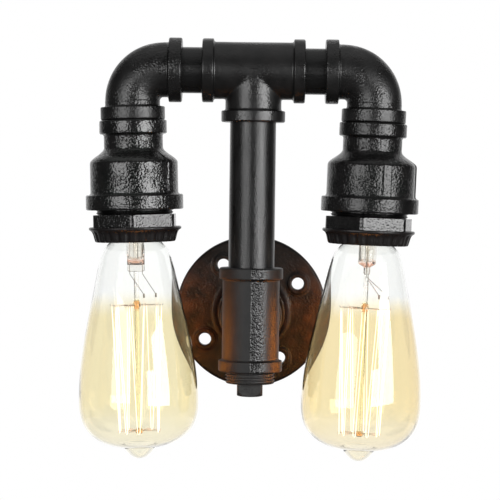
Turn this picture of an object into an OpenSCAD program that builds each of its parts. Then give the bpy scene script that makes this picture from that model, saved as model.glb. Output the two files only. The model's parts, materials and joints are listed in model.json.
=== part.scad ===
// Double wall lamp made of screwed iron pipe fittings, with two bulb holders.
// The origin is the centre of the flange's back face. X runs along the wall,
// Y runs into the wall and Z is up. All lengths are in millimetres.
// Depths down an arm are measured from the axis of the cross run.

/* [Layout] */
// Distance from the wall to the axes of the pipes
stand_off = 75; // [74:0.5:95]
// Height of the cross run above the centre of the flange
rise = 133.7; // [115:0.1:170]
// Length of each cross nipple that shows between its fittings
cross_show = 10.9; // [8:0.1:20]
// Inward lean of each lamp arm, in degrees
arm_lean = 1.8; // [0:0.1:3]

/* [Pipe] */
// Outside diameter of the pipe and the nipples
pipe_d = 24.7; // [23.5:0.1:25]
// Bore of the pipe and the nipples
pipe_bore = 19.6; // [19:0.1:20]
// Length of pipe screwed into a fitting
engage = 13; // [11:0.5:13.5]
// Radial clearance of a screwed fit
fit = 0.05; // [0.02:0.01:0.08]
// Clearance behind the end of a screwed-in part
end_gap = 0.3; // [0.2:0.1:0.8]

/* [Tees] */
// Reach of the upper tee from its centre to each face
top_reach = 27.6; // [27:0.1:32]
// Reach of the lower tee from its centre to each face
low_reach = 28; // [27:0.1:32]
// Outside diameter of a tee's body
tee_body_d = 30.7; // [29.5:0.1:32]
// Outside diameter of a tee's collars
tee_collar_d = 34.3; // [33:0.1:37]
// Width of a tee's collars
tee_collar_w = 6.1; // [4:0.1:8]
// Bore through the middle of a fitting
way_d = 21; // [20:0.1:22]

/* [Elbows] */
// Reach of an elbow from its centre to each face
elbow_reach = 27; // [26:0.1:32]
// Radius of an elbow's bend on its centre line
bend_r = 16.8; // [16:0.1:18]
// Outside diameter of an elbow's body
elbow_body_d = 29.3; // [28.5:0.1:31]
// Outside diameter of an elbow's collars
elbow_collar_d = 34.6; // [33:0.1:37]
// Width of an elbow's collars
elbow_collar_w = 7; // [5:0.1:9]
// Corner rounding of the collars of all fittings
collar_round = 0.9; // [0.4:0.1:1.4]

/* [Wall flange] */
// Diameter of the flange plate
flange_d = 86; // [80:1:110]
// Thickness of the flange plate
flange_t = 6; // [4:0.5:8]
// Diameter of the flange hub
hub_d = 39; // [34:0.5:42]
// Height of the flange hub above the plate
hub_h = 16; // [14:0.5:18]
// Diameter of the circle of screw holes
screw_pcd = 62; // [58:0.5:70]
// Diameter of each screw hole
screw_hole_d = 7; // [4:0.5:8]
// Angle of the first screw hole above the horizontal, in degrees
screw_turn = 31.5; // [0:0.5:45]
// Height of the boss round each screw hole
screw_boss_h = 0.8; // [0.4:0.1:1.5]

/* [Plug] */
// Length of plug thread that shows under the lower tee
plug_show = 6.4; // [4:0.1:9]
// Diameter over the plug's thread
plug_thread_d = 26.4; // [25.6:0.1:27]
// Pitch of the plug's thread
plug_pitch = 1.81; // [1.5:0.01:2.2]
// Width of the plug's square head
plug_head_w = 13.8; // [12:0.1:17]
// Height of the plug's square head
plug_head_h = 7; // [5:0.1:10]

/* [Reducers] */
// Length of nipple that shows between an elbow and its reducer
neck_show = 0.4; // [0.3:0.1:4]
// Length of a reducer
reducer_h = 47.9; // [47:0.1:52]
// Diameter of a reducer's small collar
small_collar_d = 36.3; // [34:0.1:38]
// Width of a reducer's small collar
small_collar_w = 7.3; // [5:0.1:8]
// Diameter of a reducer's neck
reducer_neck_d = 31.8; // [30.5:0.1:33]
// Diameter of a reducer's body
reducer_body_d = 47.3; // [46:0.1:49]
// Diameter of a reducer's large collar
large_collar_d = 52.4; // [50:0.1:55]
// Width of a reducer's large collar
large_collar_w = 8.1; // [6:0.1:10]
// Width of the casting rib on a reducer's side
rib_w = 4.6; // [3:0.1:6]
// Height of the casting rib
rib_h = 0.9; // [0.5:0.1:1.5]

/* [Bushings] */
// Diameter over a bushing's large thread
bush_thread_d = 41.9; // [41:0.1:42.4]
// Length of bushing thread screwed into the reducer
bush_engage = 13; // [11:0.5:14]
// Length of bushing thread that shows
bush_show = 2.6; // [1.5:0.1:4]
// Width of a bushing's hexagon across its corners
hex_d = 50; // [47:0.5:54]
// Height of a bushing's hexagon
hex_h = 6.6; // [5:0.1:9]
// Turn of the left hexagon, in degrees
left_hex_turn = 0; // [-30:1:30]
// Turn of the right hexagon, in degrees
right_hex_turn = -12; // [-30:1:30]

/* [Bulb holders] */
// Outside diameter of a holder's threaded skirt
skirt_d = 34; // [33.4:0.1:34.6]
// Wall of a holder's skirt
skirt_wall = 1.6; // [1.2:0.1:1.8]
// Distance from the foot of the shade ring up to the skirt's edge
skirt_recess = 1.1; // [0.5:0.1:2]
// Diameter of a holder's shoulder
shoulder_d = 38.5; // [37.5:0.1:40]
// Height of a holder's shoulder
shoulder_h = 3; // [2:0.1:3.5]
// Height of a shade ring
ring_h = 8.1; // [7.5:0.1:11]
// Diameter of a shade ring's top flange
ring_d = 49.7; // [48:0.1:53]
// Diameter of a shade ring's foot
ring_foot_d = 43.5; // [42.5:0.1:45]
// Number of flutes round a shade ring
ring_flutes = 26; // [16:1:32]
// Height of a holder's insulating core
core_h = 4; // [3.5:0.1:5]
// Height of a wire terminal
terminal_h = 5; // [4:0.1:5.5]
// Room between a holder's core and the bulb's tip
contact_room = 2.5; // [2.3:0.1:3]
// Thickness of a holder's brass parts
brass_t = 0.4; // [0.3:0.05:0.5]

/* [Bulbs] */
// Largest diameter of a bulb
bulb_d = 64.4; // [60:0.1:66]
// Length of glass below the shade ring, without the pip
bulb_h = 111; // [100:0.5:125]
// Height of the sealing pip at the foot of a bulb
pip_h = 6; // [4:0.1:8]
// Diameter of the glass where it leaves the shade ring
glass_neck_d = 26.8; // [26.4:0.1:28]
// Thickness of the glass
glass_t = 0.9; // [0.6:0.05:1.2]
// Height of a bulb's screw cap
cap_h = 27; // [25:0.5:27.5]
// Distance from the foot of the shade ring up to the cap's rim
cap_recess = 0.6; // [0.2:0.1:2]
// Crest diameter of the cap's thread
cap_thread_d = 26.4; // [26.1:0.05:26.5]
// Root diameter of the cap's thread
cap_root_d = 24.3; // [24.2:0.05:24.8]
// Pitch of the cap's thread
cap_pitch = 3.629; // [3.6:0.01:3.7]
// Radial clearance between the cap's thread and the holder's thread
thread_gap = 0.35; // [0.3:0.01:0.4]

/* [Filaments] */
// Depth of the top hooks below the shade ring
hook_top = 34; // [30:0.5:40]
// Distance from the foot hooks down to the foot of the glass
cage_clear = 8.4; // [7:0.1:20]
// Radius of the cage at the top hooks
cage_top_r = 13.4; // [10:0.1:14]
// Radius of the cage at the foot hooks
cage_foot_r = 11; // [9:0.1:14]
// Number of foot hooks
hook_count = 9; // [5:1:10]
// Angle that the cage leaves open, in degrees
cage_gap = 33; // [25:1:60]
// Angle of the cage's first strand to the right of the arm, in degrees
cage_turn = -36.5; // [-180:0.5:180]
// Turn of the right bulb against the left one, in degrees
right_bulb_turn = 90; // [0:1:180]
// Diameter of the filament
filament_d = 0.5; // [0.4:0.05:0.6]
// Diameter of the hooks and lead wires
hook_wire_d = 0.4; // [0.3:0.05:0.5]

/* [Wiring] */
// Diameter of the sheathed cable inside the pipes
cable_d = 5; // [4.5:0.1:5.5]
// Distance between the two cables in the upright pipe
cable_pitch = 6; // [5.7:0.1:7]
// Radius of a cable's bend inside a tee
cable_bend_r = 12; // [10:0.5:14]
// Diameter of a cable's cores
core_wire_d = 2; // [1.6:0.1:2.2]
// Width of the supply terminal block
block_w = 14; // [13:0.5:15]
// Height of the supply terminal block
block_h = 10; // [8:0.5:11]
// Length of the supply terminal block
block_l = 12; // [10:0.5:14]

/* [Hidden] */
$fn = 64;
LEFT = -1;
RIGHT = 1;

iron = "#2b2a2a";
flange_iron = "#33261f";
blackened = "#1f1e1e";
bakelite = "#17130f";
porcelain = "#ece8dd";
brass = "#b58a3c";
nickel = "#b9b6ae";
amber_glass = [0.98, 0.86, 0.52, 0.35];
clear_glass = [0.93, 0.95, 0.93, 0.5];
glow = "#ffcf6b";
steel_wire = "#8c8880";
vitrite = "#1b1512";
solder = "#a9a9a4";
sheath = "#222222";
block_plastic = "#e6e2d6";

cut = 1;
// Overlap, and step in diameter, where a straight run is fused to a bend
seam = 0.3;
seam_step = 0.02;
socket_d = pipe_d + 2 * fit;
tee_branch_d = tee_body_d - 0.6;
way_branch_d = way_d - 0.4;
arm_x = top_reach + cross_show + elbow_reach;
split_x = top_reach + cross_show / 2;
bend_turn = 90 + arm_lean;
bend_tangent = bend_r / tan((180 - bend_turn) / 2);

hub_face = flange_t + hub_h;
nipple_inner = hub_face - engage;
pipe_foot = low_reach - engage;
pipe_top = rise - top_reach + engage;

// Depths down an arm, from the axis of the cross run
elbow_face = elbow_reach;
reducer_top = elbow_face + neck_show;
reducer_foot = reducer_top + reducer_h;
bush_top = reducer_foot - bush_engage;
hex_top = reducer_foot + bush_show;
hex_foot = hex_top + hex_h;
ring_foot = hex_foot + ring_h;
cap_rim = ring_foot - cap_recess;
tip_depth = cap_rim - cap_h;
shoulder_top = bush_top - shoulder_h;
core_foot = tip_depth - contact_room;
core_top = core_foot - core_h;
terminal_top = core_top - terminal_h;
skirt_top = core_top - 3.5;
dome_inside = terminal_top - 3.5;
dome_wall = 2.2;
dome_crown = dome_inside - dome_wall;
dome_neck_h = 5.5;
dome_neck_top = dome_crown - dome_neck_h;

// Reducer inside
cavity_d = bush_thread_d + 2 * fit;
cavity_start = reducer_top + engage + end_gap + 1.5;
cavity_full = reducer_top + 24.6;

// Bulb cap and holder thread
cap_mid_r = (cap_thread_d + cap_root_d) / 4;
cap_wave = (cap_thread_d - cap_root_d) / 4;
cap_thread_top = tip_depth + 7;
cap_thread_foot = cap_rim - 4.5;
cap_skirt_r = cap_thread_d / 2 + 0.1;
cap_wall = 0.5;
insulator_top = tip_depth + 0.8;
insulator_foot = tip_depth + 6;
insulator_r = cap_root_d / 2 - 1.35;
tip_r = 4.8;
neck_glass_r = cap_skirt_r - cap_wall - 0.2;
shell_thread_top = tip_depth + 4.5;
shell_thread_foot = ring_foot - 5.1;
shell_foot = ring_foot - 3.1;
shell_mid_r = cap_mid_r + thread_gap;
shell_plain_r = cap_thread_d / 2 + thread_gap;
shell_mouth_r = shell_plain_r + 0.5;
shell_eye_r = 6.5;
thread_sides = 28;
thread_steps_per_turn = 6;

// Bulb inside
hook_foot = bulb_h - cage_clear;
stem_r = 4.8;
glass_top = cap_thread_foot + 0.9;
stem_top = glass_top + 0.2;
stem_foot = ring_foot + 16.2;
pinch_top = stem_foot - 6.4;
pinch_t = 3.6;
rod_r = 1.35;
top_hub_r = 2;
top_hub_h = 4.2;
foot_hub_r = 2.1;
foot_hub_h = 2.6;
cage_step = (360 - cage_gap) / hook_count;
strand_gap = 1.2;

bore_r = pipe_bore / 2;
block_foot = -sqrt(pow(bore_r - 0.1, 2) - pow(block_w / 2, 2));
block_top = block_foot + block_h;
block_back = nipple_inner + 3;
block_front = block_back + block_l;
block_screw_d = 3;
block_screw_pitch = 4.4;
cable_end = dome_inside + 0.5;
terminal_x = 8;
terminal_w = 5;
terminal_l = 6;
wire_hole_d = core_wire_d + 0.4;
wire_depth = (terminal_top + core_top) / 2;

// Shared outlines and forms

function arc(c, r, a0, a1, n) =
    [for (i = [0:n]) let (a = a0 + (a1 - a0) * i / n) c + r * [cos(a), sin(a)]];

function bezier(a, b, c, d, n) =
    [for (i = [0:n]) let (t = i / n, u = 1 - t)
        a * u * u * u + b * 3 * u * u * t + c * 3 * u * t * t + d * t * t * t];

// Smooth step from one radius to another, down an arm
function s_curve(r0, s0, r1, s1, n) =
    [for (i = [0:n]) let (t = i / n) [r0 + (r1 - r0) * (1 - cos(180 * t)) / 2, s0 + (s1 - s0) * t]];

// Turns an outline of radius and depth round the arm's axis
module revolve(outline, angle = 360)
    rotate_extrude(angle = angle) polygon([for (p = outline) [p[0], -p[1]]]);

module place_arm(side)
    translate([side * arm_x, -stand_off, rise]) rotate([0, side * arm_lean, 0]) children();

// The inside of a bulb, turned as that bulb sits in its holder
module place_bulb(side)
    place_arm(side) rotate([0, 0, side == RIGHT ? right_bulb_turn : 0]) children();

module tube(outer_d, inner_d, h)
    difference() {
        cylinder(d = outer_d, h = h);
        translate([0, 0, -cut]) cylinder(d = inner_d, h = h + 2 * cut);
    }

// One end of a fitting, along Z, from its start to its collared face
module fitting_end(body_d, collar_d, collar_w, start, reach) {
    foot = reach - collar_w;
    step = (collar_d - body_d) / 2;
    swell = min(step, 1.3) * 0.9;
    rotate_extrude() polygon(concat(
        [[0, start], [body_d / 2, start]],
        arc([body_d / 2 + swell, foot - swell], swell, 180, 90, 5),
        arc([collar_d / 2 - collar_round * 0.6, foot + collar_round * 0.6], collar_round * 0.6, -90, 0, 4),
        arc([collar_d / 2 - collar_round, reach - collar_round], collar_round, 0, 90, 5),
        [[0, reach]]
    ));
}

module socket(reach)
    translate([0, 0, reach - engage - end_gap]) cylinder(d = socket_d, h = engage + end_gap + cut);

// Crests and roots of a run of thread that shows, as radius and depth
function thread_outline(crest_r, root_r, pitch, start, length) =
    let (n = max(1, floor(length / pitch)), p = length / n)
    [for (i = [0:n - 1]) each [
        [root_r, start + p * i], [crest_r, start + p * (i + 0.3)],
        [crest_r, start + p * (i + 0.6)], [root_r, start + p * (i + 0.95)]]];

// Root body

module wall_flange() color(flange_iron) rotate([90, 0, 0]) difference() {
    union() {
        rotate_extrude() polygon(concat(
            [[0, 0]],
            arc([flange_d / 2 - 0.8, 0.8], 0.8, -90, 0, 3),
            arc([flange_d / 2 - 1.6, flange_t - 1.6], 1.6, 0, 90, 5),
            arc([hub_d / 2 + 3, flange_t + 3], 3, 270, 180, 6),
            arc([hub_d / 2 - 1.2, hub_face - 1.2], 1.2, 0, 90, 4),
            [[0, hub_face]]
        ));
        for (i = [0:3]) rotate([0, 0, screw_turn + 90 * i]) translate([screw_pcd / 2, 0, 0])
            rotate_extrude() polygon([
                [0, 1], [screw_hole_d / 2 + 3.2, 1], [screw_hole_d / 2 + 3.2, flange_t],
                [screw_hole_d / 2 + 2.4, flange_t + screw_boss_h], [0, flange_t + screw_boss_h]]);
    }
    for (i = [0:3]) rotate([0, 0, screw_turn + 90 * i]) translate([screw_pcd / 2, 0, -cut])
        cylinder(d = screw_hole_d, h = flange_t + screw_boss_h + 2 * cut);
    translate([0, 0, -cut]) cylinder(d = way_d, h = hub_face);
    translate([0, 0, nipple_inner - end_gap]) cylinder(d = socket_d, h = hub_face);
}

module flange_nipple() color(iron)
    translate([0, -nipple_inner, 0]) rotate([90, 0, 0])
        tube(pipe_d, pipe_bore, stand_off - low_reach + engage - nipple_inner);

module tee(reach) difference() {
    union() {
        for (a = [90, -90]) rotate([0, a, 0])
            fitting_end(tee_body_d, tee_collar_d, tee_collar_w, 0, reach);
        fitting_end(tee_branch_d, tee_collar_d, tee_collar_w, 0, reach);
    }
    translate([-reach - cut, 0, 0]) rotate([0, 90, 0]) cylinder(d = way_d, h = 2 * (reach + cut));
    cylinder(d = way_branch_d, h = reach + cut);
    for (a = [90, -90]) rotate([0, a, 0]) socket(reach);
    socket(reach);
}

module lower_tee() color(iron)
    translate([0, -stand_off, 0]) rotate([-90, 0, 0]) rotate([0, 0, -90]) tee(low_reach);

module upper_tee() color(iron)
    translate([0, -stand_off, rise]) rotate([180, 0, 0]) tee(top_reach);

module upright_pipe() color(iron)
    translate([0, -stand_off, pipe_foot]) tube(pipe_d, pipe_bore, pipe_top - pipe_foot);

module square_plug() color(iron) translate([0, -stand_off, 0]) {
    face = low_reach;
    thread_foot = face + plug_show;
    difference() {
        revolve(concat(
            [[0, face - engage], [pipe_d / 2, face - engage], [pipe_d / 2, face]],
            thread_outline(plug_thread_d / 2, pipe_d / 2 - 0.1, plug_pitch, face, plug_show - 0.6),
            [[plug_thread_d / 2 - 0.9, thread_foot], [0, thread_foot]]
        ));
        translate([0, 0, -face + 2]) cylinder(d = pipe_bore - 2, h = engage + cut);
    }
    intersection() {
        translate([-plug_head_w / 2, -plug_head_w / 2, -thread_foot - plug_head_h])
            cube([plug_head_w, plug_head_w, plug_head_h]);
        revolve([
            [0, thread_foot], [plug_head_w, thread_foot], [plug_head_w, thread_foot + plug_head_h - 3],
            [plug_head_w / 2 - 1.2, thread_foot + plug_head_h], [0, thread_foot + plug_head_h]]);
    }
}

module cross_nipple(side) color(iron)
    translate([side * (top_reach - engage), -stand_off, rise]) rotate([0, side * 90, 0])
        tube(pipe_d, pipe_bore, cross_show + 2 * engage);

// A lead that leaves the supply block, climbs the pipe and turns out along the cross run
module feed_cable(side) color(sheath) {
    x = side * cable_pitch / 2;
    r = cable_bend_r;
    start = block_front;
    run_d = cable_d - seam_step;
    translate([x, -start, 0]) rotate([90, 0, 0]) cylinder(d = run_d, h = stand_off - r - start + seam);
    translate([x, -stand_off + r, r]) rotate([0, -90, 0]) rotate([0, 0, 180])
        rotate_extrude(angle = 90) translate([r, 0]) circle(d = cable_d);
    translate([x, -stand_off, r - seam]) cylinder(d = run_d, h = rise - 2 * (r - seam));
    translate([x + side * r, -stand_off, rise - r]) rotate([90, 0, 0]) rotate([0, 0, side > 0 ? 90 : 0])
        rotate_extrude(angle = 90) translate([r, 0]) circle(d = cable_d);
    translate([x + side * (r - seam), -stand_off, rise]) rotate([0, side * 90, 0])
        cylinder(d = run_d, h = split_x - cable_pitch / 2 - r + seam);
}

module supply_block() color(block_plastic) difference() {
    translate([-block_w / 2, -block_front, block_foot]) cube([block_w, block_l, block_h]);
    for (i = [-1:1]) {
        translate([i * block_screw_pitch, -block_back + cut, 0]) rotate([90, 0, 0])
            cylinder(d = wire_hole_d + 0.4, h = block_l / 2 + cut);
        translate([i * block_screw_pitch, -(block_back + block_front) / 2, block_top - 2.5])
            cylinder(d = block_screw_d + 0.2, h = 2.5 + cut);
    }
}

module slotted_screw(shank_d, shank_h, head_d, head_h) difference() {
    union() {
        translate([0, 0, -shank_h]) cylinder(d = shank_d, h = shank_h);
        cylinder(d = head_d, h = head_h);
    }
    translate([-head_d, -0.3, head_h / 2]) cube([2 * head_d, 0.6, head_h]);
}

module supply_block_screws() color(brass)
    for (i = [-1:1])
        translate([i * block_screw_pitch, -(block_back + block_front) / 2, block_top])
            slotted_screw(block_screw_d, 2.2, 4, 1.2);

// Lamp arms

// The bend of an elbow, from its mouth down into the arm
module bend(d)
    translate([-bend_tangent, 0, -bend_r]) rotate([-90, 0, 0]) rotate([0, 0, -90])
        rotate_extrude(angle = bend_turn) translate([bend_r, 0]) circle(d = d);

module toward_mouth() rotate([0, -90, 0]) children();
module toward_arm() rotate([180, 0, 0]) rotate([0, -arm_lean, 0]) children();
module elbow_end()
    fitting_end(elbow_body_d - seam_step, elbow_collar_d, elbow_collar_w, bend_tangent - seam, elbow_reach);

module elbow(side) color(iron)
    translate([side * arm_x, -stand_off, rise]) mirror([side == LEFT ? 1 : 0, 0, 0]) difference() {
        union() {
            toward_mouth() elbow_end();
            toward_arm() elbow_end();
            bend(elbow_body_d);
        }
        bend(way_d);
        toward_mouth() socket(elbow_reach);
        toward_arm() socket(elbow_reach);
    }

module close_nipple(side) color(iron)
    place_arm(side) translate([0, 0, -reducer_top - engage])
        tube(pipe_d, pipe_bore, 2 * engage + neck_show);

// Outside of a reducer from its top face to its foot, swollen by a step
function reducer_outside(swell) = let (t = reducer_top, f = reducer_foot, q = collar_round) concat(
    arc([small_collar_d / 2 - q, t + q], q, -90, 0, 4),
    arc([small_collar_d / 2 - q, t + small_collar_w - q], q, 0, 90, 4),
    [[reducer_neck_d / 2 + 0.8, t + small_collar_w + 0.2]],
    [[reducer_neck_d / 2 + swell, t + small_collar_w + 1.6]],
    s_curve(reducer_neck_d / 2 + swell, t + 14.5, reducer_body_d / 2 + swell, t + 23, 9),
    [[reducer_body_d / 2 + 0.3 + swell, f - large_collar_w - 1.4]],
    [[reducer_body_d / 2 + 1.2 + swell / 2, f - large_collar_w - 0.3]],
    arc([large_collar_d / 2 - q, f - large_collar_w + q], q, -90, 0, 4),
    arc([large_collar_d / 2 - q, f - q], q, 0, 90, 4));

reducer_inside = concat(
    [[socket_d / 2, reducer_top], [socket_d / 2, reducer_top + engage + end_gap],
        [way_d / 2, reducer_top + engage + end_gap]],
    s_curve(way_d / 2, cavity_start, cavity_d / 2, cavity_full, 9),
    [[cavity_d / 2, reducer_foot]]);

function reversed(v) = [for (i = [len(v) - 1:-1:0]) v[i]];

// A casting rib from the shoulder to the large collar, at an angle round the arm
module reducer_rib(at) {
    spread = rib_w / (reducer_body_d / 2) * 180 / PI;
    r = reducer_body_d / 2;
    rotate([0, 0, at - spread / 2]) revolve(concat(
        [[r - 1.2, reducer_top + 23]],
        [[r + rib_h, reducer_top + 24.5], [r + 0.3 + rib_h, reducer_foot - large_collar_w - 0.2],
            [r - 1.2, reducer_foot - large_collar_w + 0.6]]), spread);
}

module reducer(side) color(iron) place_arm(side) {
    revolve(concat(reducer_outside(0), reversed(reducer_inside)));
    for (at = side == RIGHT ? [-72, 8] : [-33, 147]) reducer_rib(at);
}

module hex_bushing(side) color(iron) place_arm(side) {
    hole_r = skirt_d / 2 + 0.2;
    r = bush_thread_d / 2;
    difference() {
        union() {
            revolve(concat(
                [[0, bush_top], [r - 0.8, bush_top], [r, bush_top + 0.8], [r, reducer_foot + 0.5],
                    [r - 0.9, reducer_foot + 1.2], [r, reducer_foot + 1.9], [r - 0.4, hex_top],
                    [r - 0.4, hex_top + 1], [0, hex_top + 1]]));
            rotate([0, 0, 30 + (side == LEFT ? left_hex_turn : right_hex_turn)]) intersection() {
                translate([0, 0, -hex_foot]) cylinder(d = hex_d, h = hex_h, $fn = 6);
                revolve([[0, hex_top], [hex_d / 2 - 1, hex_top], [hex_d / 2, hex_top + 0.7],
                    [hex_d / 2, hex_foot - 0.7], [hex_d / 2 - 1, hex_foot], [0, hex_foot]]);
            }
        }
        translate([0, 0, -hex_foot - cut]) cylinder(r = hole_r, h = hex_foot - bush_top + 2 * cut);
    }
}

module shade_ring(side) color(blackened) place_arm(side) {
    top = hex_foot;
    lip_r = ring_d / 2;
    foot_r = ring_foot_d / 2;
    inner_r = skirt_d / 2 + fit;
    flute_d = 2.2;
    difference() {
        revolve(concat(
            [[inner_r, top], [lip_r, top], [lip_r, top + 1.5]],
            bezier([lip_r - 0.3, top + 1.8], [lip_r - 1.8, top + 2.3], [foot_r + 0.7, top + 3.4],
                [foot_r + 0.35, top + 5.4], 6),
            [[foot_r, ring_foot - 0.5], [foot_r - 0.5, ring_foot], [inner_r, ring_foot]]));
        for (i = [0:ring_flutes - 1]) rotate([0, 0, 360 / ring_flutes * i])
            translate([foot_r + 0.95, 0, -ring_foot - cut])
                cylinder(d = flute_d, h = ring_h - 2 + cut, $fn = 24);
    }
}

module holder_dome(side) color(bakelite) place_arm(side) {
    r = shoulder_d / 2;
    seat_r = skirt_d / 2 + fit;
    hole_r = cable_d / 2 + 0.2;
    neck_r = 6.5;
    revolve(concat(
        [[hole_r, dome_neck_top], [neck_r, dome_neck_top]],
        bezier([neck_r, dome_crown], [neck_r + 6.5, dome_crown], [r, dome_crown + 2],
            [r, dome_crown + 7.2], 8),
        [[r, shoulder_top], [seat_r, shoulder_top]],
        bezier([seat_r, skirt_top - 0.3], [seat_r - 1, dome_inside + 2.5], [neck_r + 5, dome_inside],
            [neck_r, dome_inside], 8),
        [[hole_r, dome_inside]]));
}

module holder_skirt(side) color(bakelite) place_arm(side) {
    r = skirt_d / 2;
    in_r = r - skirt_wall;
    ledge_r = shell_plain_r + brass_t + 0.25;
    foot = ring_foot - skirt_recess;
    revolve([
        [in_r, skirt_top], [r, skirt_top], [r, shoulder_top], [shoulder_d / 2, shoulder_top],
        [shoulder_d / 2, bush_top], [r, bush_top], [r, foot], [in_r, foot],
        [in_r, core_foot + 1.5], [ledge_r, core_foot + 1.5], [ledge_r, core_foot], [in_r, core_foot]]);
}

module holder_core(side) color(porcelain) place_arm(side)
    translate([0, 0, -core_foot]) tube(skirt_d - 2 * skirt_wall - 2 * fit, 3.2, core_h);

// Points of a thread wave round the axis: radius at a depth and an angle
function wave_r(mid, swing, depth, a) = mid + swing * cos(360 * (depth / cap_pitch + a / 360));

// A closed skin whose outline of radius, swing and depth turns round the axis
module threaded_skin(outline) {
    n = len(outline);
    m = thread_sides;
    points = [for (j = [0:m - 1]) for (p = outline) let (a = 360 * j / m, r = wave_r(p[0], p[1], p[2], a))
        [r * cos(a), r * sin(a), -p[2]]];
    faces = [for (j = [0:m - 1]) for (i = [0:n - 1])
        let (k = (j + 1) % m, h = (i + 1) % n,
            a = j * n + i, b = j * n + h, c = k * n + h, d = k * n + i)
        each [[a, c, b], [a, d, c]]];
    polyhedron(points, faces, convexity = 8);
}

// Thread outline between two depths, as radius, swing and depth. Its ends fade to the crest (1) or root (-1).
function thread_run(mid, swing, top, foot, fade_to) =
    let (n = round((foot - top) / cap_pitch * thread_steps_per_turn))
    [for (i = [0:n]) let (d = top + (foot - top) * i / n, fade = min(1, i / 3, (n - i) / 3))
        [mid + (1 - fade) * swing * fade_to, swing * fade, d]];

module screw_shell(side) color(brass) place_arm(side) {
    inner = thread_run(shell_mid_r, cap_wave, shell_thread_top, shell_thread_foot, 1);
    outer = thread_run(shell_mid_r + brass_t, cap_wave, shell_thread_top, shell_thread_foot, 1);
    threaded_skin(concat(
        [[shell_plain_r + brass_t, 0, core_foot], [shell_eye_r, 0, core_foot],
            [shell_eye_r, 0, core_foot + brass_t], [shell_plain_r, 0, core_foot + brass_t],
            [shell_plain_r, 0, shell_thread_top - 0.6]],
        inner,
        [[shell_mouth_r, 0, shell_foot], [shell_mouth_r + brass_t, 0, shell_foot]],
        reversed(outer),
        [[shell_plain_r + brass_t, 0, shell_thread_top - 0.6]]));
}

// A bent strip of constant thickness along a path
function ribbon(path, t) = let (
    n = len(path),
    dir = [for (i = [0:n - 1]) let (d = path[min(i + 1, n - 1)] - path[max(i - 1, 0)]) d / norm(d)],
    side = [for (d = dir) [-d[1], d[0]] * t / 2])
    concat([for (i = [0:n - 1]) path[i] + side[i]], [for (i = [n - 1:-1:0]) path[i] - side[i]]);

module centre_contact(side) color(brass) place_arm(side) {
    t = 0.5;
    fold = 0.48;
    seat = core_foot + t / 2;
    low = tip_depth - 0.3 - t / 2;
    translate([0, 2, 0]) rotate([90, 0, 0]) linear_extrude(4) polygon([
        for (p = ribbon(concat(
            [[-4.6, seat]],
            arc([4.2, seat + fold], fold, -90, 80, 6),
            [[0.9, low - 0.1], [0, low], [-0.9, low - 0.1], [-2.4, low - 0.5]]), t)) [p[0], -p[1]]]);
    translate([0, 0, -core_foot - 0.1]) cylinder(d = 3, h = core_h - 0.9);
}

module terminals(side) color(brass) place_arm(side) for (i = [-1, 1]) difference() {
    translate([i * terminal_x - terminal_w / 2, -terminal_l / 2, -core_top])
        cube([terminal_w, terminal_l, terminal_h]);
    translate([i * (terminal_x - terminal_w / 2 - cut), 0, -wire_depth]) rotate([0, i * 90, 0])
        cylinder(d = wire_hole_d, h = cut + terminal_w - 1);
    translate([i * terminal_x, 0, -terminal_top - 1.2]) cylinder(d = 2.7, h = 1.2 + cut);
}

module terminal_screws(side) color(nickel) place_arm(side) for (i = [-1, 1])
    translate([i * terminal_x, 0, -terminal_top]) slotted_screw(2.6, 1, 4.2, 1.4);

module rod(a, b, d) {
    v = b - a;
    h = norm(v);
    translate(a) rotate([0, acos(v[2] / h), atan2(v[1], v[0])]) cylinder(d = d, h = h, $fn = 24);
}

// The lead from the swivel of an arm to the terminals of its holder
module arm_cable(side) color(sheath) {
    translate([side * arm_x, -stand_off, rise]) mirror([side == LEFT ? 1 : 0, 0, 0]) {
        translate([split_x - arm_x, 0, 0]) rotate([0, 90, 0])
            cylinder(d = cable_d - seam_step, h = arm_x - split_x - bend_tangent + seam);
        bend(cable_d);
    }
    place_arm(side) {
        translate([0, 0, -cable_end])
            cylinder(d = cable_d - seam_step, h = cable_end - bend_tangent + seam);
        for (i = [-1, 1]) {
            knee = [i * (terminal_x - terminal_w / 2 - 1.1), 0, -wire_depth];
            rod([i * 1.2, 0, 0.4 - cable_end], knee, core_wire_d);
            translate(knee) sphere(d = core_wire_d + 0.15);
            rod(knee, knee + [i * 3.2, 0, 0], core_wire_d);
        }
    }
}

// Bulbs

module bulb_tip(side) color(solder) place_arm(side)
    revolve(concat([[0, insulator_top], [tip_r, insulator_top]],
        arc([tip_r - 0.7, insulator_top - 0.1], 0.7, 0, -90, 3), [[0, tip_depth]]));

module cap_insulator(side) color(vitrite) place_arm(side)
    revolve([[0, insulator_top], [tip_r + 0.5, insulator_top], [insulator_r, insulator_foot - 0.8],
        [insulator_r, insulator_foot + 0.6], [0, insulator_foot + 0.6]]);

module bulb_cap(side) color(nickel) place_arm(side) {
    out_r = cap_root_d / 2;
    in_r = out_r - cap_wall;
    glass_r = cap_skirt_r - cap_wall;
    threaded_skin(concat(
        [[insulator_r + 0.1, 0, insulator_foot + 0.6], [insulator_r + 0.1, 0, insulator_foot - 0.2],
            [out_r, 0, insulator_foot + 0.3]],
        thread_run(cap_mid_r, cap_wave, cap_thread_top, cap_thread_foot, -1),
        [[cap_skirt_r, 0, cap_thread_foot + 1], [cap_skirt_r, 0, cap_rim], [glass_r, 0, cap_rim],
            [glass_r, 0, cap_thread_foot + 0.6], [in_r, 0, cap_thread_foot],
            [in_r, 0, insulator_foot + 1.2]]));
}

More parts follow.
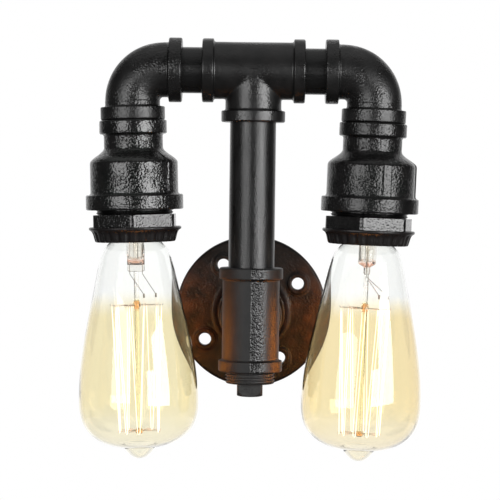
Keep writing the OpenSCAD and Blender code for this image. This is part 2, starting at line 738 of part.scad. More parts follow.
// Outside of the glass below the shade ring, shrunk by an inset
function glass_curve(inset) = let (
    r = bulb_d / 2 - inset, z = ring_foot, crown = 26, waist = bulb_h - crown, power = 2.6)
    concat(
        bezier([glass_neck_d / 2 - inset, z], [glass_neck_d / 2 + 3 - inset, z + 2],
            [glass_neck_d / 2 + 5.3 - inset, z + 5], [glass_neck_d / 2 + 6.1 - inset, z + 10], 6),
        bezier([glass_neck_d / 2 + 7.3 - inset, z + 15], [glass_neck_d / 2 + 12 - inset, z + 38],
            [r - 0.2, z + 62], [r, z + waist], 14),
        [for (i = [1:9]) let (u = sin(i * 9.7)) [r * pow(1 - pow(u, power), 1 / power),
            z + waist + (crown - inset) * u]]);

module bulb_glass(side) color(amber_glass) place_arm(side) {
    z = ring_foot;
    foot = z + bulb_h;
    inner_neck = neck_glass_r - glass_t;
    revolve(concat(
        [[inner_neck, glass_top], [neck_glass_r, glass_top], [neck_glass_r, cap_rim + 0.1]],
        glass_curve(0),
        bezier([9, foot - 0.2], [7, foot + 1.4], [4.6, foot + pip_h], [0, foot + pip_h], 8),
        bezier([0, foot + pip_h - 2.2], [2.4, foot + pip_h - 2.3], [3.4, foot - glass_t],
            [6, foot - glass_t - 0.2], 4),
        reversed(glass_curve(glass_t)),
        [[inner_neck, cap_rim + 0.1]]));
}

module bulb_stem(side) color(clear_glass) place_bulb(side) {
    rim_r = neck_glass_r - glass_t - 0.05;
    revolve(concat(
        bezier([rim_r, stem_top], [rim_r - 1.6, stem_top + 5], [stem_r, stem_top + 5],
            [stem_r, stem_top + 9], 6),
        [[stem_r, pinch_top + 0.5], [0, pinch_top + 0.5], [0, pinch_top - 0.4],
            [stem_r - 0.8, pinch_top - 1.4]],
        bezier([stem_r - 0.8, stem_top + 9], [stem_r - 0.8, stem_top + 4.4],
            [rim_r - 2.6, stem_top + 4.4], [rim_r - 0.8, stem_top], 6)));
    intersection() {
        translate([0, 0, -stem_foot]) cylinder(r = stem_r - 0.05, h = stem_foot - pinch_top);
        translate([-stem_r, -pinch_t / 2, -stem_foot]) cube([2 * stem_r, pinch_t, stem_foot - pinch_top]);
    }
    translate([0, 0, -ring_foot - hook_foot])
        cylinder(r = rod_r, h = ring_foot + hook_foot - stem_foot + 0.3);
    translate([0, 0, -ring_foot - hook_top - top_hub_h / 2]) cylinder(r = top_hub_r, h = top_hub_h);
    translate([0, 0, -ring_foot - hook_foot - foot_hub_h / 2]) cylinder(r = foot_hub_r, h = foot_hub_h);
}

function top_angle(i) = cage_turn + cage_step * i;
function foot_angle(i) = top_angle(i + 0.5);
function on_cage(a, r, depth) = [r * cos(a), r * sin(a), -ring_foot - depth];

module lead_wires(side) color(steel_wire) place_bulb(side) {
    ends = [top_angle(hook_count), top_angle(0)];
    for (i = [0, 1]) {
        x = (2 * i - 1) * (stem_r - 1.4);
        heel = [x, 0, -stem_foot - 1.2];
        crimp = on_cage(ends[i], cage_top_r, hook_top - 4);
        rod([x, 0, -stem_top - 4], heel, hook_wire_d);
        translate(heel) sphere(d = hook_wire_d + 0.15, $fn = 16);
        rod(heel, crimp, hook_wire_d);
        rod(crimp + [0, 0, 0.5], crimp - [0, 0, 1.7], 1);
    }
}

module filament_hooks(side) color(steel_wire) place_bulb(side) {
    reach = 0.9;
    drop = filament_d / 2 + hook_wire_d / 2 + 0.03;
    for (i = [1:hook_count - 1]) rod(on_cage(top_angle(i), top_hub_r - 0.4, hook_top + drop),
        on_cage(top_angle(i), cage_top_r + reach, hook_top + drop), hook_wire_d);
    for (i = [0:hook_count - 1]) rod(on_cage(foot_angle(i), foot_hub_r - 0.4, hook_foot - drop),
        on_cage(foot_angle(i), cage_foot_r + reach, hook_foot - drop), hook_wire_d);
}

// The filament's own line: down and up between the hooks, with a square turn over each
filament_top_turn = strand_gap / 2 / cage_top_r * 180 / PI;
filament_foot_turn = strand_gap / 2 / cage_foot_r * 180 / PI;
filament_line = concat(
    [[top_angle(0), cage_top_r, hook_top - 3.5]],
    [for (i = [0:hook_count - 1]) each concat(
        i == 0 ? [] : [[top_angle(i) + filament_top_turn, cage_top_r, hook_top]],
        [[foot_angle(i) - filament_foot_turn, cage_foot_r, hook_foot],
            [foot_angle(i) + filament_foot_turn, cage_foot_r, hook_foot]],
        i == hook_count - 1 ? [] : [[top_angle(i + 1) - filament_top_turn, cage_top_r, hook_top]])],
    [[top_angle(hook_count), cage_top_r, hook_top - 3.5]]);

module filament(side) color(glow) place_bulb(side) {
    n = len(filament_line);
    m = 6;
    line = [for (p = filament_line) on_cage(p[0], p[1], p[2])];
    points = [for (i = [0:n - 1]) let (
            d = line[min(i + 1, n - 1)] - line[max(i - 1, 0)],
            along = d / norm(d),
            out = [cos(filament_line[i][0]), sin(filament_line[i][0]), 0],
            flat = out - along * (out * along),
            u = flat / norm(flat),
            v = cross(along, u))
        for (j = [0:m - 1]) line[i] + filament_d / 2 * (cos(60 * j) * u + sin(60 * j) * v)];
    sides = [for (i = [0:n - 2]) for (j = [0:m - 1]) let (
            a = i * m + j, b = i * m + (j + 1) % m, c = (i + 1) * m + (j + 1) % m, d = (i + 1) * m + j)
        each [[a, c, b], [a, d, c]]];
    ends = [[for (j = [0:m - 1]) j], [for (j = [m - 1:-1:0]) (n - 1) * m + j]];
    polyhedron(points, concat(sides, ends), convexity = 12);
}

wall_flange();
flange_nipple();
lower_tee();
square_plug();
upright_pipe();
upper_tee();
cross_nipple(LEFT);  // left_cross_nipple
cross_nipple(RIGHT);  // right_cross_nipple
feed_cable(LEFT);  // left_feed_cable
feed_cable(RIGHT);  // right_feed_cable
supply_block();
supply_block_screws();
elbow(LEFT);  // left_elbow
elbow(RIGHT);  // right_elbow
close_nipple(LEFT);  // left_close_nipple
close_nipple(RIGHT);  // right_close_nipple
reducer(LEFT);  // left_reducer
reducer(RIGHT);  // right_reducer
hex_bushing(LEFT);  // left_hex_bushing
hex_bushing(RIGHT);  // right_hex_bushing
shade_ring(LEFT);  // left_shade_ring
shade_ring(RIGHT);  // right_shade_ring
holder_dome(LEFT);  // left_holder_dome
holder_dome(RIGHT);  // right_holder_dome
holder_skirt(LEFT);  // left_holder_skirt
holder_skirt(RIGHT);  // right_holder_skirt
holder_core(LEFT);  // left_holder_core
holder_core(RIGHT);  // right_holder_core
screw_shell(LEFT);  // left_screw_shell
screw_shell(RIGHT);  // right_screw_shell
centre_contact(LEFT);  // left_centre_contact
centre_contact(RIGHT);  // right_centre_contact
terminals(LEFT);  // left_terminals
terminals(RIGHT);  // right_terminals
terminal_screws(LEFT);  // left_terminal_screws
terminal_screws(RIGHT);  // right_terminal_screws
arm_cable(LEFT);  // left_arm_cable
arm_cable(RIGHT);  // right_arm_cable
bulb_tip(LEFT);  // left_bulb_tip
bulb_tip(RIGHT);  // right_bulb_tip
cap_insulator(LEFT);  // left_cap_insulator
cap_insulator(RIGHT);  // right_cap_insulator
bulb_cap(LEFT);  // left_bulb_cap
bulb_cap(RIGHT);  // right_bulb_cap
bulb_glass(LEFT);  // left_bulb_glass
bulb_glass(RIGHT);  // right_bulb_glass
bulb_stem(LEFT);  // left_bulb_stem
bulb_stem(RIGHT);  // right_bulb_stem
lead_wires(LEFT);  // left_lead_wires
lead_wires(RIGHT);  // right_lead_wires
filament_hooks(LEFT);  // left_filament_hooks
filament_hooks(RIGHT);  // right_filament_hooks
filament(LEFT);  // left_filament
filament(RIGHT);  // right_filament
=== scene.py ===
"""Double wall lamp of screwed iron pipe fittings with two lit bulbs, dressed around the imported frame.

Sizes are in millimetres in the classes and become metres when a piece is made. The origin is the
centre of the wall flange's back face, X runs along the wall, Y into the wall and Z up. Depths down
a lamp arm are measured from the axis of the cross run.
"""

import json
import logging
from collections.abc import Callable, Sequence
from dataclasses import dataclass, field, replace
from enum import Enum
from math import acos, cos, pi, radians, sin, tan

import bmesh
import bpy
import numpy as np
from mathutils import Matrix, Vector


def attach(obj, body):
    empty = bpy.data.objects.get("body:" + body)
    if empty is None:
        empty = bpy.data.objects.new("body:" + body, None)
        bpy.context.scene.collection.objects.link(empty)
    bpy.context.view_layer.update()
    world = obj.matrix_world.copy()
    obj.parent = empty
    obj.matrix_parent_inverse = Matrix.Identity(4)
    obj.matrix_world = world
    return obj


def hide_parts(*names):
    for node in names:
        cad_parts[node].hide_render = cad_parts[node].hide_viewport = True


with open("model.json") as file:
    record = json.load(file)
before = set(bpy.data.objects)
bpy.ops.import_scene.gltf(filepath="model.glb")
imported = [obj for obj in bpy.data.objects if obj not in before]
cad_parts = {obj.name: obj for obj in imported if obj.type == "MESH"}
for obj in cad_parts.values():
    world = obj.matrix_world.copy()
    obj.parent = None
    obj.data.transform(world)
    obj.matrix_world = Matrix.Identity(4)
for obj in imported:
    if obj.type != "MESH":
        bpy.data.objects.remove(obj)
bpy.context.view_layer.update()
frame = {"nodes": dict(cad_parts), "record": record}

MM = 0.001
CREASE = 38.0  # angle in degrees above which an edge stays sharp
MARGIN = 1.5  # space round a casting in its grid
BEYOND = 5.0  # how far a cut runs past the face that it opens
Array = np.ndarray
Pair = tuple[float, float]
Point = Sequence[float]
Outline = list[Pair]
Field = Callable[[Array], Array]
Socket = bpy.types.NodeSocket
Inputs = dict[int | str, object] | None
Warp = Callable[[Array, Array, Array], Array]
log = logging.getLogger("wall_lamp")


class Side(Enum):
    """The two lamp arms, by the sign of their place along X."""

    LEFT = -1
    RIGHT = 1

    @property
    def word(self) -> str:
        """The name that the nodes and bodies of this arm start with."""
        return self.name.lower()


# Sizes


def metres(pair: Point) -> Pair:
    """Two lengths turned from millimetres into metres."""
    return pair[0] * MM, pair[1] * MM


def moved(x: float, y: float, z: float) -> Matrix:
    """A shift in millimetres."""
    return Matrix.Translation(Vector((x, y, z)) * MM)


def turned(angle: float, axis: str) -> Matrix:
    """A turn in degrees."""
    return Matrix.Rotation(radians(angle), 4, axis)


@dataclass(frozen=True)
class Sizes:
    """Sizes of the lamp that more than one sub-assembly uses, in millimetres."""

    stand_off: float = 75.0
    rise: float = 133.7
    cross_show: float = 10.9
    arm_lean: float = 1.8
    pipe_d: float = 24.7
    pipe_bore: float = 19.6
    engage: float = 13.0
    fit: float = 0.05
    end_gap: float = 0.3
    top_reach: float = 27.6
    low_reach: float = 28.0
    elbow_reach: float = 27.0
    bend_r: float = 16.8
    way_d: float = 21.0
    neck_show: float = 0.4
    reducer_h: float = 47.9
    bush_engage: float = 13.0
    bush_show: float = 2.6
    hex_h: float = 6.6
    ring_h: float = 8.1
    skirt_d: float = 34.0
    bulb_h: float = 111.0
    right_bulb_turn: float = 90.0

    @property
    def arm_x(self) -> float:
        """Distance of each arm's axis from the middle, at the cross run."""
        return self.top_reach + self.cross_show + self.elbow_reach

    @property
    def socket_r(self) -> float:
        """Radius of a fitting's threaded mouth."""
        return self.pipe_d / 2 + self.fit

    @property
    def reducer_top(self) -> float:
        """Depth of a reducer's upper face."""
        return self.elbow_reach + self.neck_show

    @property
    def reducer_foot(self) -> float:
        """Depth of a reducer's lower face."""
        return self.reducer_top + self.reducer_h

    @property
    def hex_top(self) -> float:
        """Depth of the top of a bushing's hexagon."""
        return self.reducer_foot + self.bush_show

    @property
    def hex_foot(self) -> float:
        """Depth of the foot of a bushing's hexagon."""
        return self.hex_top + self.hex_h

    @property
    def ring_foot(self) -> float:
        """Depth of the foot of a shade ring."""
        return self.hex_foot + self.ring_h

    def corner(self, side: Side) -> Matrix:
        """Place where an arm meets the cross run."""
        return moved(side.value * self.arm_x, -self.stand_off, self.rise)

    def arm_place(self, side: Side, turn: float = 0.0) -> Matrix:
        """Frame of an arm, turned by some degrees about its axis, which points down local -Z."""
        return self.corner(side) @ turned(side.value * self.arm_lean, "Y") @ turned(turn, "Z")

    def bulb_place(self, side: Side) -> Matrix:
        """Frame of the inside of a bulb, turned as that bulb sits in its holder."""
        return self.arm_place(side, self.right_bulb_turn if side is Side.RIGHT else 0.0)


SIZES = Sizes()


# Outlines


def arc(centre: Pair, radius: float, start: float, end: float, steps: int = 8) -> Outline:
    """Points on a circular arc between two angles in degrees, both ends included."""
    turns = [radians(start + (end - start) * i / steps) for i in range(steps + 1)]
    return [(centre[0] + radius * cos(a), centre[1] + radius * sin(a)) for a in turns]


def bezier(*knots: Pair, steps: int) -> Outline:
    """Points on a cubic curve.

    Args:
        knots: Its start, the two knots that pull it, and its end.
        steps: Number of pieces.

    Returns:
        The points, both ends included.
    """
    a, b, c, d = (np.array(k, float) for k in knots)
    t = np.linspace(0, 1, steps + 1)[:, None]
    u = 1 - t
    return [tuple(p) for p in a * u**3 + 3 * b * u * u * t + 3 * c * u * t * t + d * t**3]


def sway(r0: float, s0: float, r1: float, s1: float, steps: int = 20) -> Outline:
    """A smooth step from one radius to another down the axis."""
    return [(r0 + (r1 - r0) * (1 - cos(pi * i / steps)) / 2, s0 + (s1 - s0) * i / steps)
            for i in range(steps + 1)]


# Meshes


@dataclass
class Shell:
    """A closed skin: points in millimetres, faces, and normals where they are known."""

    points: Array
    faces: list[tuple[int, ...]]
    normals: Array | None = None

    @staticmethod
    def joined(shells: Sequence["Shell"]) -> "Shell":
        """One skin made of several, which keep their own points.

        Args:
            shells: The skins.

        Returns:
            The joined skin.
        """
        faces, start = [], 0
        for shell in shells:
            faces += [tuple(i + start for i in f) for f in shell.faces]
            start += len(shell.points)
        return Shell(np.concatenate([shell.points for shell in shells]), faces)

    def mirrored(self) -> "Shell":
        """The same skin, mirrored across X = 0."""
        flip = np.array([-1.0, 1.0, 1.0])
        return Shell(self.points * flip, [f[::-1] for f in self.faces],
                     None if self.normals is None else self.normals * flip)


def lathe(outline: Outline, sides: int = 128, warp: Warp | None = None, ring: bool = True) -> Shell:
    """Turns an outline of radius and depth round the axis.

    Args:
        outline: Points of the outline. Depth runs down -Z.
        sides: Steps round the axis.
        warp: Changes the radius by angle, radius and depth.
        ring: True for a closed outline, False for one that starts and ends on the axis.

    Returns:
        The turned skin.
    """
    r, s = np.array(outline, float).T
    turn = np.arange(sides)[:, None] * 2 * pi / sides
    radius = np.broadcast_to(r, (sides, len(r)))
    if warp:
        radius = warp(turn, radius, np.broadcast_to(s, radius.shape))
    points = np.stack([radius * np.cos(turn), radius * np.sin(turn), np.broadcast_to(-s, radius.shape)], -1)
    n = len(r)
    starts = [(j * n, (j + 1) % sides * n) for j in range(sides)]
    steps = [(i, (i + 1) % n) for i in range(n if ring else n - 1)]
    return Shell(points.reshape(-1, 3), [(a + i, b + i, b + h, a + h) for a, b in starts for i, h in steps])


def bands(rows: int, sides: int) -> list[tuple[int, ...]]:
    """Quads between rings of points, one ring after another."""
    starts = [(i * sides, j, (j + 1) % sides) for i in range(rows - 1) for j in range(sides)]
    return [(i + j, i + k, i + sides + k, i + sides + j) for i, j, k in starts]


def sweep(path: Sequence[Point], radius: float, sides: int = 10) -> Shell:
    """A round bar along a path, with flat ends.

    Args:
        path: Points of its centre line.
        radius: Radius of the bar.
        sides: Steps round the bar.

    Returns:
        The bar's skin.
    """
    line = np.array(path, float)
    along = np.gradient(line, axis=0)
    along /= np.linalg.norm(along, axis=1)[:, None]
    side = np.cross(along[0], (0, 0, 1) if abs(along[0][2]) < 0.9 else (1, 0, 0))
    turns = np.arange(sides) * 2 * pi / sides
    points = []
    for at, way in zip(line, along):
        side = side - way * (side @ way)
        side /= np.linalg.norm(side)
        other = np.cross(way, side)
        points.append(at + radius * (np.cos(turns)[:, None] * side + np.sin(turns)[:, None] * other))
    faces = bands(len(line), sides)
    faces += [tuple(range(sides))[::-1], tuple(range((len(line) - 1) * sides, len(line) * sides))]
    return Shell(np.concatenate(points), faces)


def loft(sections: Sequence[tuple[float, float, float, float]], sides: int = 48) -> Shell:
    """A solid through rounded sections across the axis.

    Args:
        sections: Half width along X, half width along Y, exponent of the corners, and depth.
        sides: Steps round each section.

    Returns:
        The solid's skin.
    """
    turn = np.arange(sides) * 2 * pi / sides
    points = []
    for *halves, power, depth in sections:
        x, y = (half * np.sign(way) * np.abs(way) ** (2 / power)
                for half, way in zip(halves, (np.cos(turn), np.sin(turn))))
        points.append(np.stack([x, y, np.full(sides, -depth)], -1))
    count = len(sections)
    faces = [(a, d, c, b) for a, b, c, d in bands(count, sides)]
    faces += [tuple(range(sides)), tuple(range((count - 1) * sides, count * sides))[::-1]]
    return Shell(np.concatenate(points), faces)


# Solids as distance fields, for castings whose forms run into each other


def outline_distance(r: Array, s: Array, outline: Outline) -> Array:
    """Signed distance to a closed outline, negative inside.

    Args:
        r: First coordinates of the points.
        s: Second coordinates of the points.
        outline: Corners of the outline.

    Returns:
        The distance of each point.
    """
    best = np.full(r.shape, 1e9)
    inside = np.zeros(r.shape, bool)
    for (r0, s0), (r1, s1) in zip(outline, outline[1:] + outline[:1]):
        er, es = r1 - r0, s1 - s0
        length = er * er + es * es
        if length < 1e-12:
            continue
        t = np.clip(((r - r0) * er + (s - s0) * es) / length, 0, 1)
        best = np.minimum(best, (r - r0 - t * er) ** 2 + (s - s0 - t * es) ** 2)
        if abs(es) > 1e-12:
            inside ^= ((s0 > s) != (s1 > s)) & (r < r0 + (s - s0) * er / es)
    return np.where(inside, -1.0, 1.0) * np.sqrt(best)


def round_axis(away: Array, way: Array) -> tuple[Array, Array]:
    """Radius and depth of points, given from an axis' start, round and along its unit direction."""
    depth = away @ way
    return np.sqrt(np.maximum((away**2).sum(1) - depth**2, 0)), depth


class Turned:
    """Distance field of a solid turned round a line, read from a fine table of its outline."""

    STEP = 0.1  # spacing of the table
    BEHIND = 12.0  # how far the outline closes behind the axis, so that the axis lies inside
    ALONG, ACROSS = 4.0, 6.0  # what the table holds past the ends and past the widest radius

    def __init__(self, outline: Outline, way: Point, start: Point = (0, 0, 0)) -> None:
        """Prepares the table.

        Args:
            outline: Open outline of radius and depth, from the axis back to the axis.
            way: Direction in which depth grows.
            start: Point of the axis where depth is 0.
        """
        closed = [(-self.BEHIND, outline[0][1]), *outline, (-self.BEHIND, outline[-1][1])]
        r, s = np.array(outline).T
        self.start, self.way = np.array(start, float), np.array(way, float)
        self.way /= np.linalg.norm(self.way)
        self.low = s.min() - self.ALONG
        self.size = [int(n / self.STEP) for n in (r.max() + self.ACROSS, np.ptp(s) + 2 * self.ALONG)]
        across, along = (np.arange(n) * self.STEP for n in self.size)
        self.table = outline_distance(*np.meshgrid(across, self.low + along, indexing="ij"), closed)

    def __call__(self, points: Array) -> Array:
        """Looks up how far each point is from the solid.

        Args:
            points: The points, one to a row.

        Returns:
            The distance of each, negative inside.
        """
        radius, depth = round_axis(points - self.start, self.way)
        u, v = radius / self.STEP, (depth - self.low) / self.STEP
        cu, cv = np.clip(u, 0, self.size[0] - 1.001), np.clip(v, 0, self.size[1] - 1.001)
        i, j = cu.astype(int), cv.astype(int)
        fu, fv = cu - i, cv - j
        t = self.table
        low, high = (t[i, k] * (1 - fu) + t[i + 1, k] * fu for k in (j, j + 1))
        return low * (1 - fv) + high * fv + np.hypot(u - cu, v - cv) * self.STEP


def rod_field(way: Point, radius: float, low: float, high: float, start: Point = (0, 0, 0)) -> Field:
    """Distance field of a plain cylinder.

    Args:
        way: Direction in which depth grows.
        radius: Its radius.
        low: Least depth.
        high: Greatest depth.
        start: Point on its axis where depth is 0.

    Returns:
        The field.
    """
    at, unit = np.array(start, float), np.array(way, float) / np.linalg.norm(way)

    def distance(points: Array) -> Array:
        """How far each point is from the cylinder.

        Args:
            points: The points, one to a row.

        Returns:
            The distance of each, negative inside.
        """
        out, depth = round_axis(points - at, unit)
        out, end = out - radius, np.maximum(low - depth, depth - high)
        return np.minimum(np.maximum(out, end), 0) + np.hypot(np.maximum(out, 0), np.maximum(end, 0))

    return distance


def bend_field(first: Point, second: Point, bend_r: float, radius: float) -> Field:
    """Distance field of a bent bar that joins two directions from the origin.

    Args:
        first: Unit direction of the first line, away from the origin.
        second: Unit direction of the second line, away from the origin.
        bend_r: Radius of the bend on the centre line.
        radius: Radius of the bar.

    Returns:
        The field.
    """
    a, b = np.array(first, float), np.array(second, float)
    half = acos(float(a @ b)) / 2
    inward = (a + b) / np.linalg.norm(a + b)
    centre = inward * bend_r / sin(half)
    across = (a - b) / np.linalg.norm(a - b)
    reach = pi / 2 - half
    normal = np.cross(inward, across)

    def distance(points: Array) -> Array:
        """How far each point is from the bar.

        Args:
            points: The points, one to a row.

        Returns:
            The distance of each, negative inside.
        """
        away = points - centre
        u, v, w = away @ -inward, away @ across, away @ normal
        turn = np.clip(np.arctan2(v, u), -reach, reach)
        return np.sqrt((u - bend_r * np.cos(turn)) ** 2 + (v - bend_r * np.sin(turn)) ** 2 + w * w) - radius

    return distance


def blended(fields: Sequence[Field], fillet: float = 0.0) -> Field:
    """Union of several fields, with a fillet where they meet.

    Args:
        fields: The fields.
        fillet: How far the fillet reaches.

    Returns:
        The union's field.
    """

    def distance(points: Array) -> Array:
        """How far each point is from the union.

        Args:
            points: The points, one to a row.

        Returns:
            The distance of each, negative inside.
        """
        total = fields[0](points)
        for other in fields[1:]:
            near = other(points)
            if fillet:
                h = np.clip(0.5 + 0.5 * (near - total) / fillet, 0, 1)
                total = near * (1 - h) + total * h - fillet * h * (1 - h)
            else:
                total = np.minimum(total, near)
        return total

    return distance


def hollowed(solid: Field, cuts: Sequence[Field]) -> Field:
    """A field with others taken out of it."""
    return lambda points: np.maximum(solid(points), -blended(cuts)(points))


def skin(solid: Field, low: Point, high: Point, step: float = 0.5) -> Shell:
    """Quads over the surface of a distance field, with the field's own normals.

    Args:
        solid: The field.
        low: Lowest corner of the space that holds it.
        high: Highest corner.
        step: Spacing of the grid.

    Returns:
        The skin.
    """
    off_plane, probe = 0.0137, 0.06  # keeps points off flat faces; feels for the slope
    axes = [np.arange(a, b + step, step) + off_plane for a, b in zip(low, high)]
    grid = np.stack(np.meshgrid(*axes, indexing="ij"), -1)
    value = solid(grid.reshape(-1, 3)).reshape(grid.shape[:3])
    inside = value < 0
    size = [n - 1 for n in inside.shape]
    count = sum(inside[tuple(slice(k, n + k) for k, n in zip(corner, size))].astype(np.int8)
                for corner in np.ndindex(2, 2, 2))
    mixed = (count > 0) & (count < 8)
    index = np.full(mixed.shape, -1)
    index[mixed] = np.arange(mixed.sum())
    cells = np.argwhere(mixed)
    total, hits = np.zeros((len(cells), 3)), np.zeros(len(cells))
    units = np.eye(3, dtype=int)
    for axis, unit in enumerate(units):
        for pair in np.ndindex(2, 2):
            start = cells + np.insert(pair, axis, 0)
            v0, v1 = value[tuple(start.T)], value[tuple((start + unit).T)]
            crossed = (v0 < 0) != (v1 < 0)
            t = v0[crossed] / (v0[crossed] - v1[crossed])
            total[crossed] += start[crossed] + t[:, None] * unit
            hits[crossed] += 1
    points = total / hits[:, None] * step + [axis[0] for axis in axes]
    faces: list[tuple[int, ...]] = []
    for axis, unit in enumerate(units):
        u, v = units[axis - 2], units[axis - 1]
        first, last = (inside[tuple(slice(k, n + k) if i == axis else slice(1, n)
                                    for i, n in enumerate(size))] for k in (0, 1))
        edges = np.argwhere(first != last)
        outward = first[tuple(edges.T)]
        edges = edges + (1 - unit)
        ring = [index[tuple((edges - shift).T)] for shift in (u + v, v, 0 * u, u)]
        quads = np.stack(ring, 1)
        quads[~outward] = quads[~outward][:, ::-1]
        faces += [tuple(q) for q in quads.tolist()]
    normals = np.zeros_like(points)
    for _ in range(3):
        for axis, shift in enumerate(units * probe):
            normals[:, axis] = solid(points + shift) - solid(points - shift)
        normals /= np.maximum(np.linalg.norm(normals, axis=1), 1e-9)[:, None]
        points = points - normals * np.clip(solid(points), -step / 2, step / 2)[:, None]
    return Shell(points, faces, normals)


# Materials


def linear(colour: str) -> tuple[float, float, float, float]:
    """Turns an sRGB hex colour into linear red, green, blue and alpha."""
    parts = [int(colour[i:i + 2], 16) / 255 for i in (1, 3, 5)]
    return (*(c / 12.92 if c <= 0.04045 else ((c + 0.055) / 1.055) ** 2.4 for c in parts), 1.0)


def add(tree: bpy.types.NodeTree, kind: str, sockets: Inputs = None, **settings: object) -> bpy.types.Node:
    """Adds a node.

    Args:
        tree: The tree it goes into.
        kind: Its type.
        sockets: What goes into its inputs, by name or number: a value, or another node's output.
        settings: Its properties.

    Returns:
        The node.
    """
    node = tree.nodes.new(kind)
    for key, value in settings.items():
        setattr(node, key, value)
    for key, value in (sockets or {}).items():
        if isinstance(value, Socket):
            tree.links.new(value, node.inputs[key])
        else:
            node.inputs[key].default_value = value
    return node


class Nodes:
    """An empty node tree to be filled, with a short method for each node that finishes share."""

    def __init__(self, tree: bpy.types.NodeTree) -> None:
        """Empties the tree."""
        self.tree = tree
        tree.nodes.clear()

    def one(self, kind: str, sockets: Inputs = None, output: int | str = 0, **settings: object) -> Socket:
        """Adds a shader node by the end of its type's name and returns one of its outputs."""
        return add(self.tree, "ShaderNode" + kind, sockets, **settings).outputs[output]

    def place(self) -> Socket:
        """The shaded point in its piece's own frame."""
        return self.one("TexCoord", output="Object")

    def part(self, vector: Socket, axis: str) -> Socket:
        """One coordinate of a vector."""
        return self.one("SeparateXYZ", {0: vector}, axis)

    def noise(self, place: Socket, size: float, detail: float = 2.0) -> Socket:
        """Noise of a size in millimetres. It keeps near 0.5, so ramps spread its middle out."""
        return self.one("TexNoise", {"Vector": place, "Scale": 1 / (size * MM), "Detail": detail})

    def math(self, operation: str, *values: float | Socket, clamp: bool = False) -> Socket:
        """One sum of up to three values."""
        return self.one("Math", dict(enumerate(values)), operation=operation, use_clamp=clamp)

    def ramp(self, value: Socket, start: Pair = (0.0, 1.0), end: Pair = (0.0, 1.0),
             smooth: bool = False) -> Socket:
        """Maps one range of values onto another and stops at its ends."""
        names = ("Value", "From Min", "From Max", "To Min", "To Max")
        return self.one("MapRange", dict(zip(names, (value, *start, *end))),
                        interpolation_type="SMOOTHSTEP" if smooth else "LINEAR")

    def mix(self, share: float | Socket, first: str | Socket, second: str | Socket) -> Socket:
        """A mix of two colours, each a hex value or a socket."""
        ends = [linear(end) if isinstance(end, str) else end for end in (first, second)]
        return self.one("Mix", {0: share, 6: ends[0], 7: ends[1]}, 2, data_type="RGBA")

    def bump(self, height: Socket, rise: float, below: Socket | None = None) -> Socket:
        """A normal tilted by a height of so many millimetres, over another normal if one is given."""
        under = {} if below is None else {"Normal": below}
        return self.one("Bump", {"Height": height, "Strength": 1.0, "Distance": rise * MM, **under})

    def surface(self, colour: Socket, rough: float | Socket, **others: float | Socket) -> Socket:
        """A principled shader. Other inputs are named with underscores for spaces."""
        sockets = {name.replace("_", " "): value for name, value in others.items()}
        return self.one("BsdfPrincipled", {"Base Color": colour, "Roughness": rough, **sockets})

    def glow(self, colour: str, strength: float | Socket) -> Socket:
        """A shader that gives light."""
        return self.one("Emission", {"Color": linear(colour), "Strength": strength})

    def either(self, share: Socket, first: Socket, second: Socket) -> Socket:
        """A mix of two shaders."""
        return self.one("MixShader", {0: share, 1: first, 2: second})

    def ray(self, kind: str) -> Socket:
        """1 on rays of one kind, 0 on others."""
        return self.one("LightPath", output=f"Is {kind} Ray")

    def seen(self) -> Socket:
        """1 on rays from the eye, straight, off a clean mirror or through glass."""
        clear = self.math("MAXIMUM", self.ray("Singular"), self.ray("Transmission"))
        return self.math("MAXIMUM", self.ray("Camera"), clear)

    def blurred(self) -> Socket:
        """1 on rays that a rough gloss mirrors."""
        return self.math("SUBTRACT", self.ray("Glossy"), self.ray("Singular"), clamp=True)

    def lighting(self) -> Socket:
        """1 on rays that carry light to matt surfaces."""
        return self.math("MAXIMUM", self.ray("Shadow"), self.ray("Diffuse"))


@dataclass(frozen=True)
class Finish:
    """A surface: what it is made of and how it was worked."""

    name: str

    def shade(self, nodes: Nodes) -> Socket:
        """Adds this finish's nodes and returns its shader."""
        raise NotImplementedError

    def material(self) -> bpy.types.Material:
        """Makes the finish's material, once.

        Returns:
            The material.
        """
        made = bpy.data.materials.get(self.name)
        if made is None:
            made = bpy.data.materials.new(self.name)
            made.use_nodes = True
            nodes = Nodes(made.node_tree)
            add(nodes.tree, "ShaderNodeOutputMaterial", {"Surface": self.shade(nodes)})
        return made


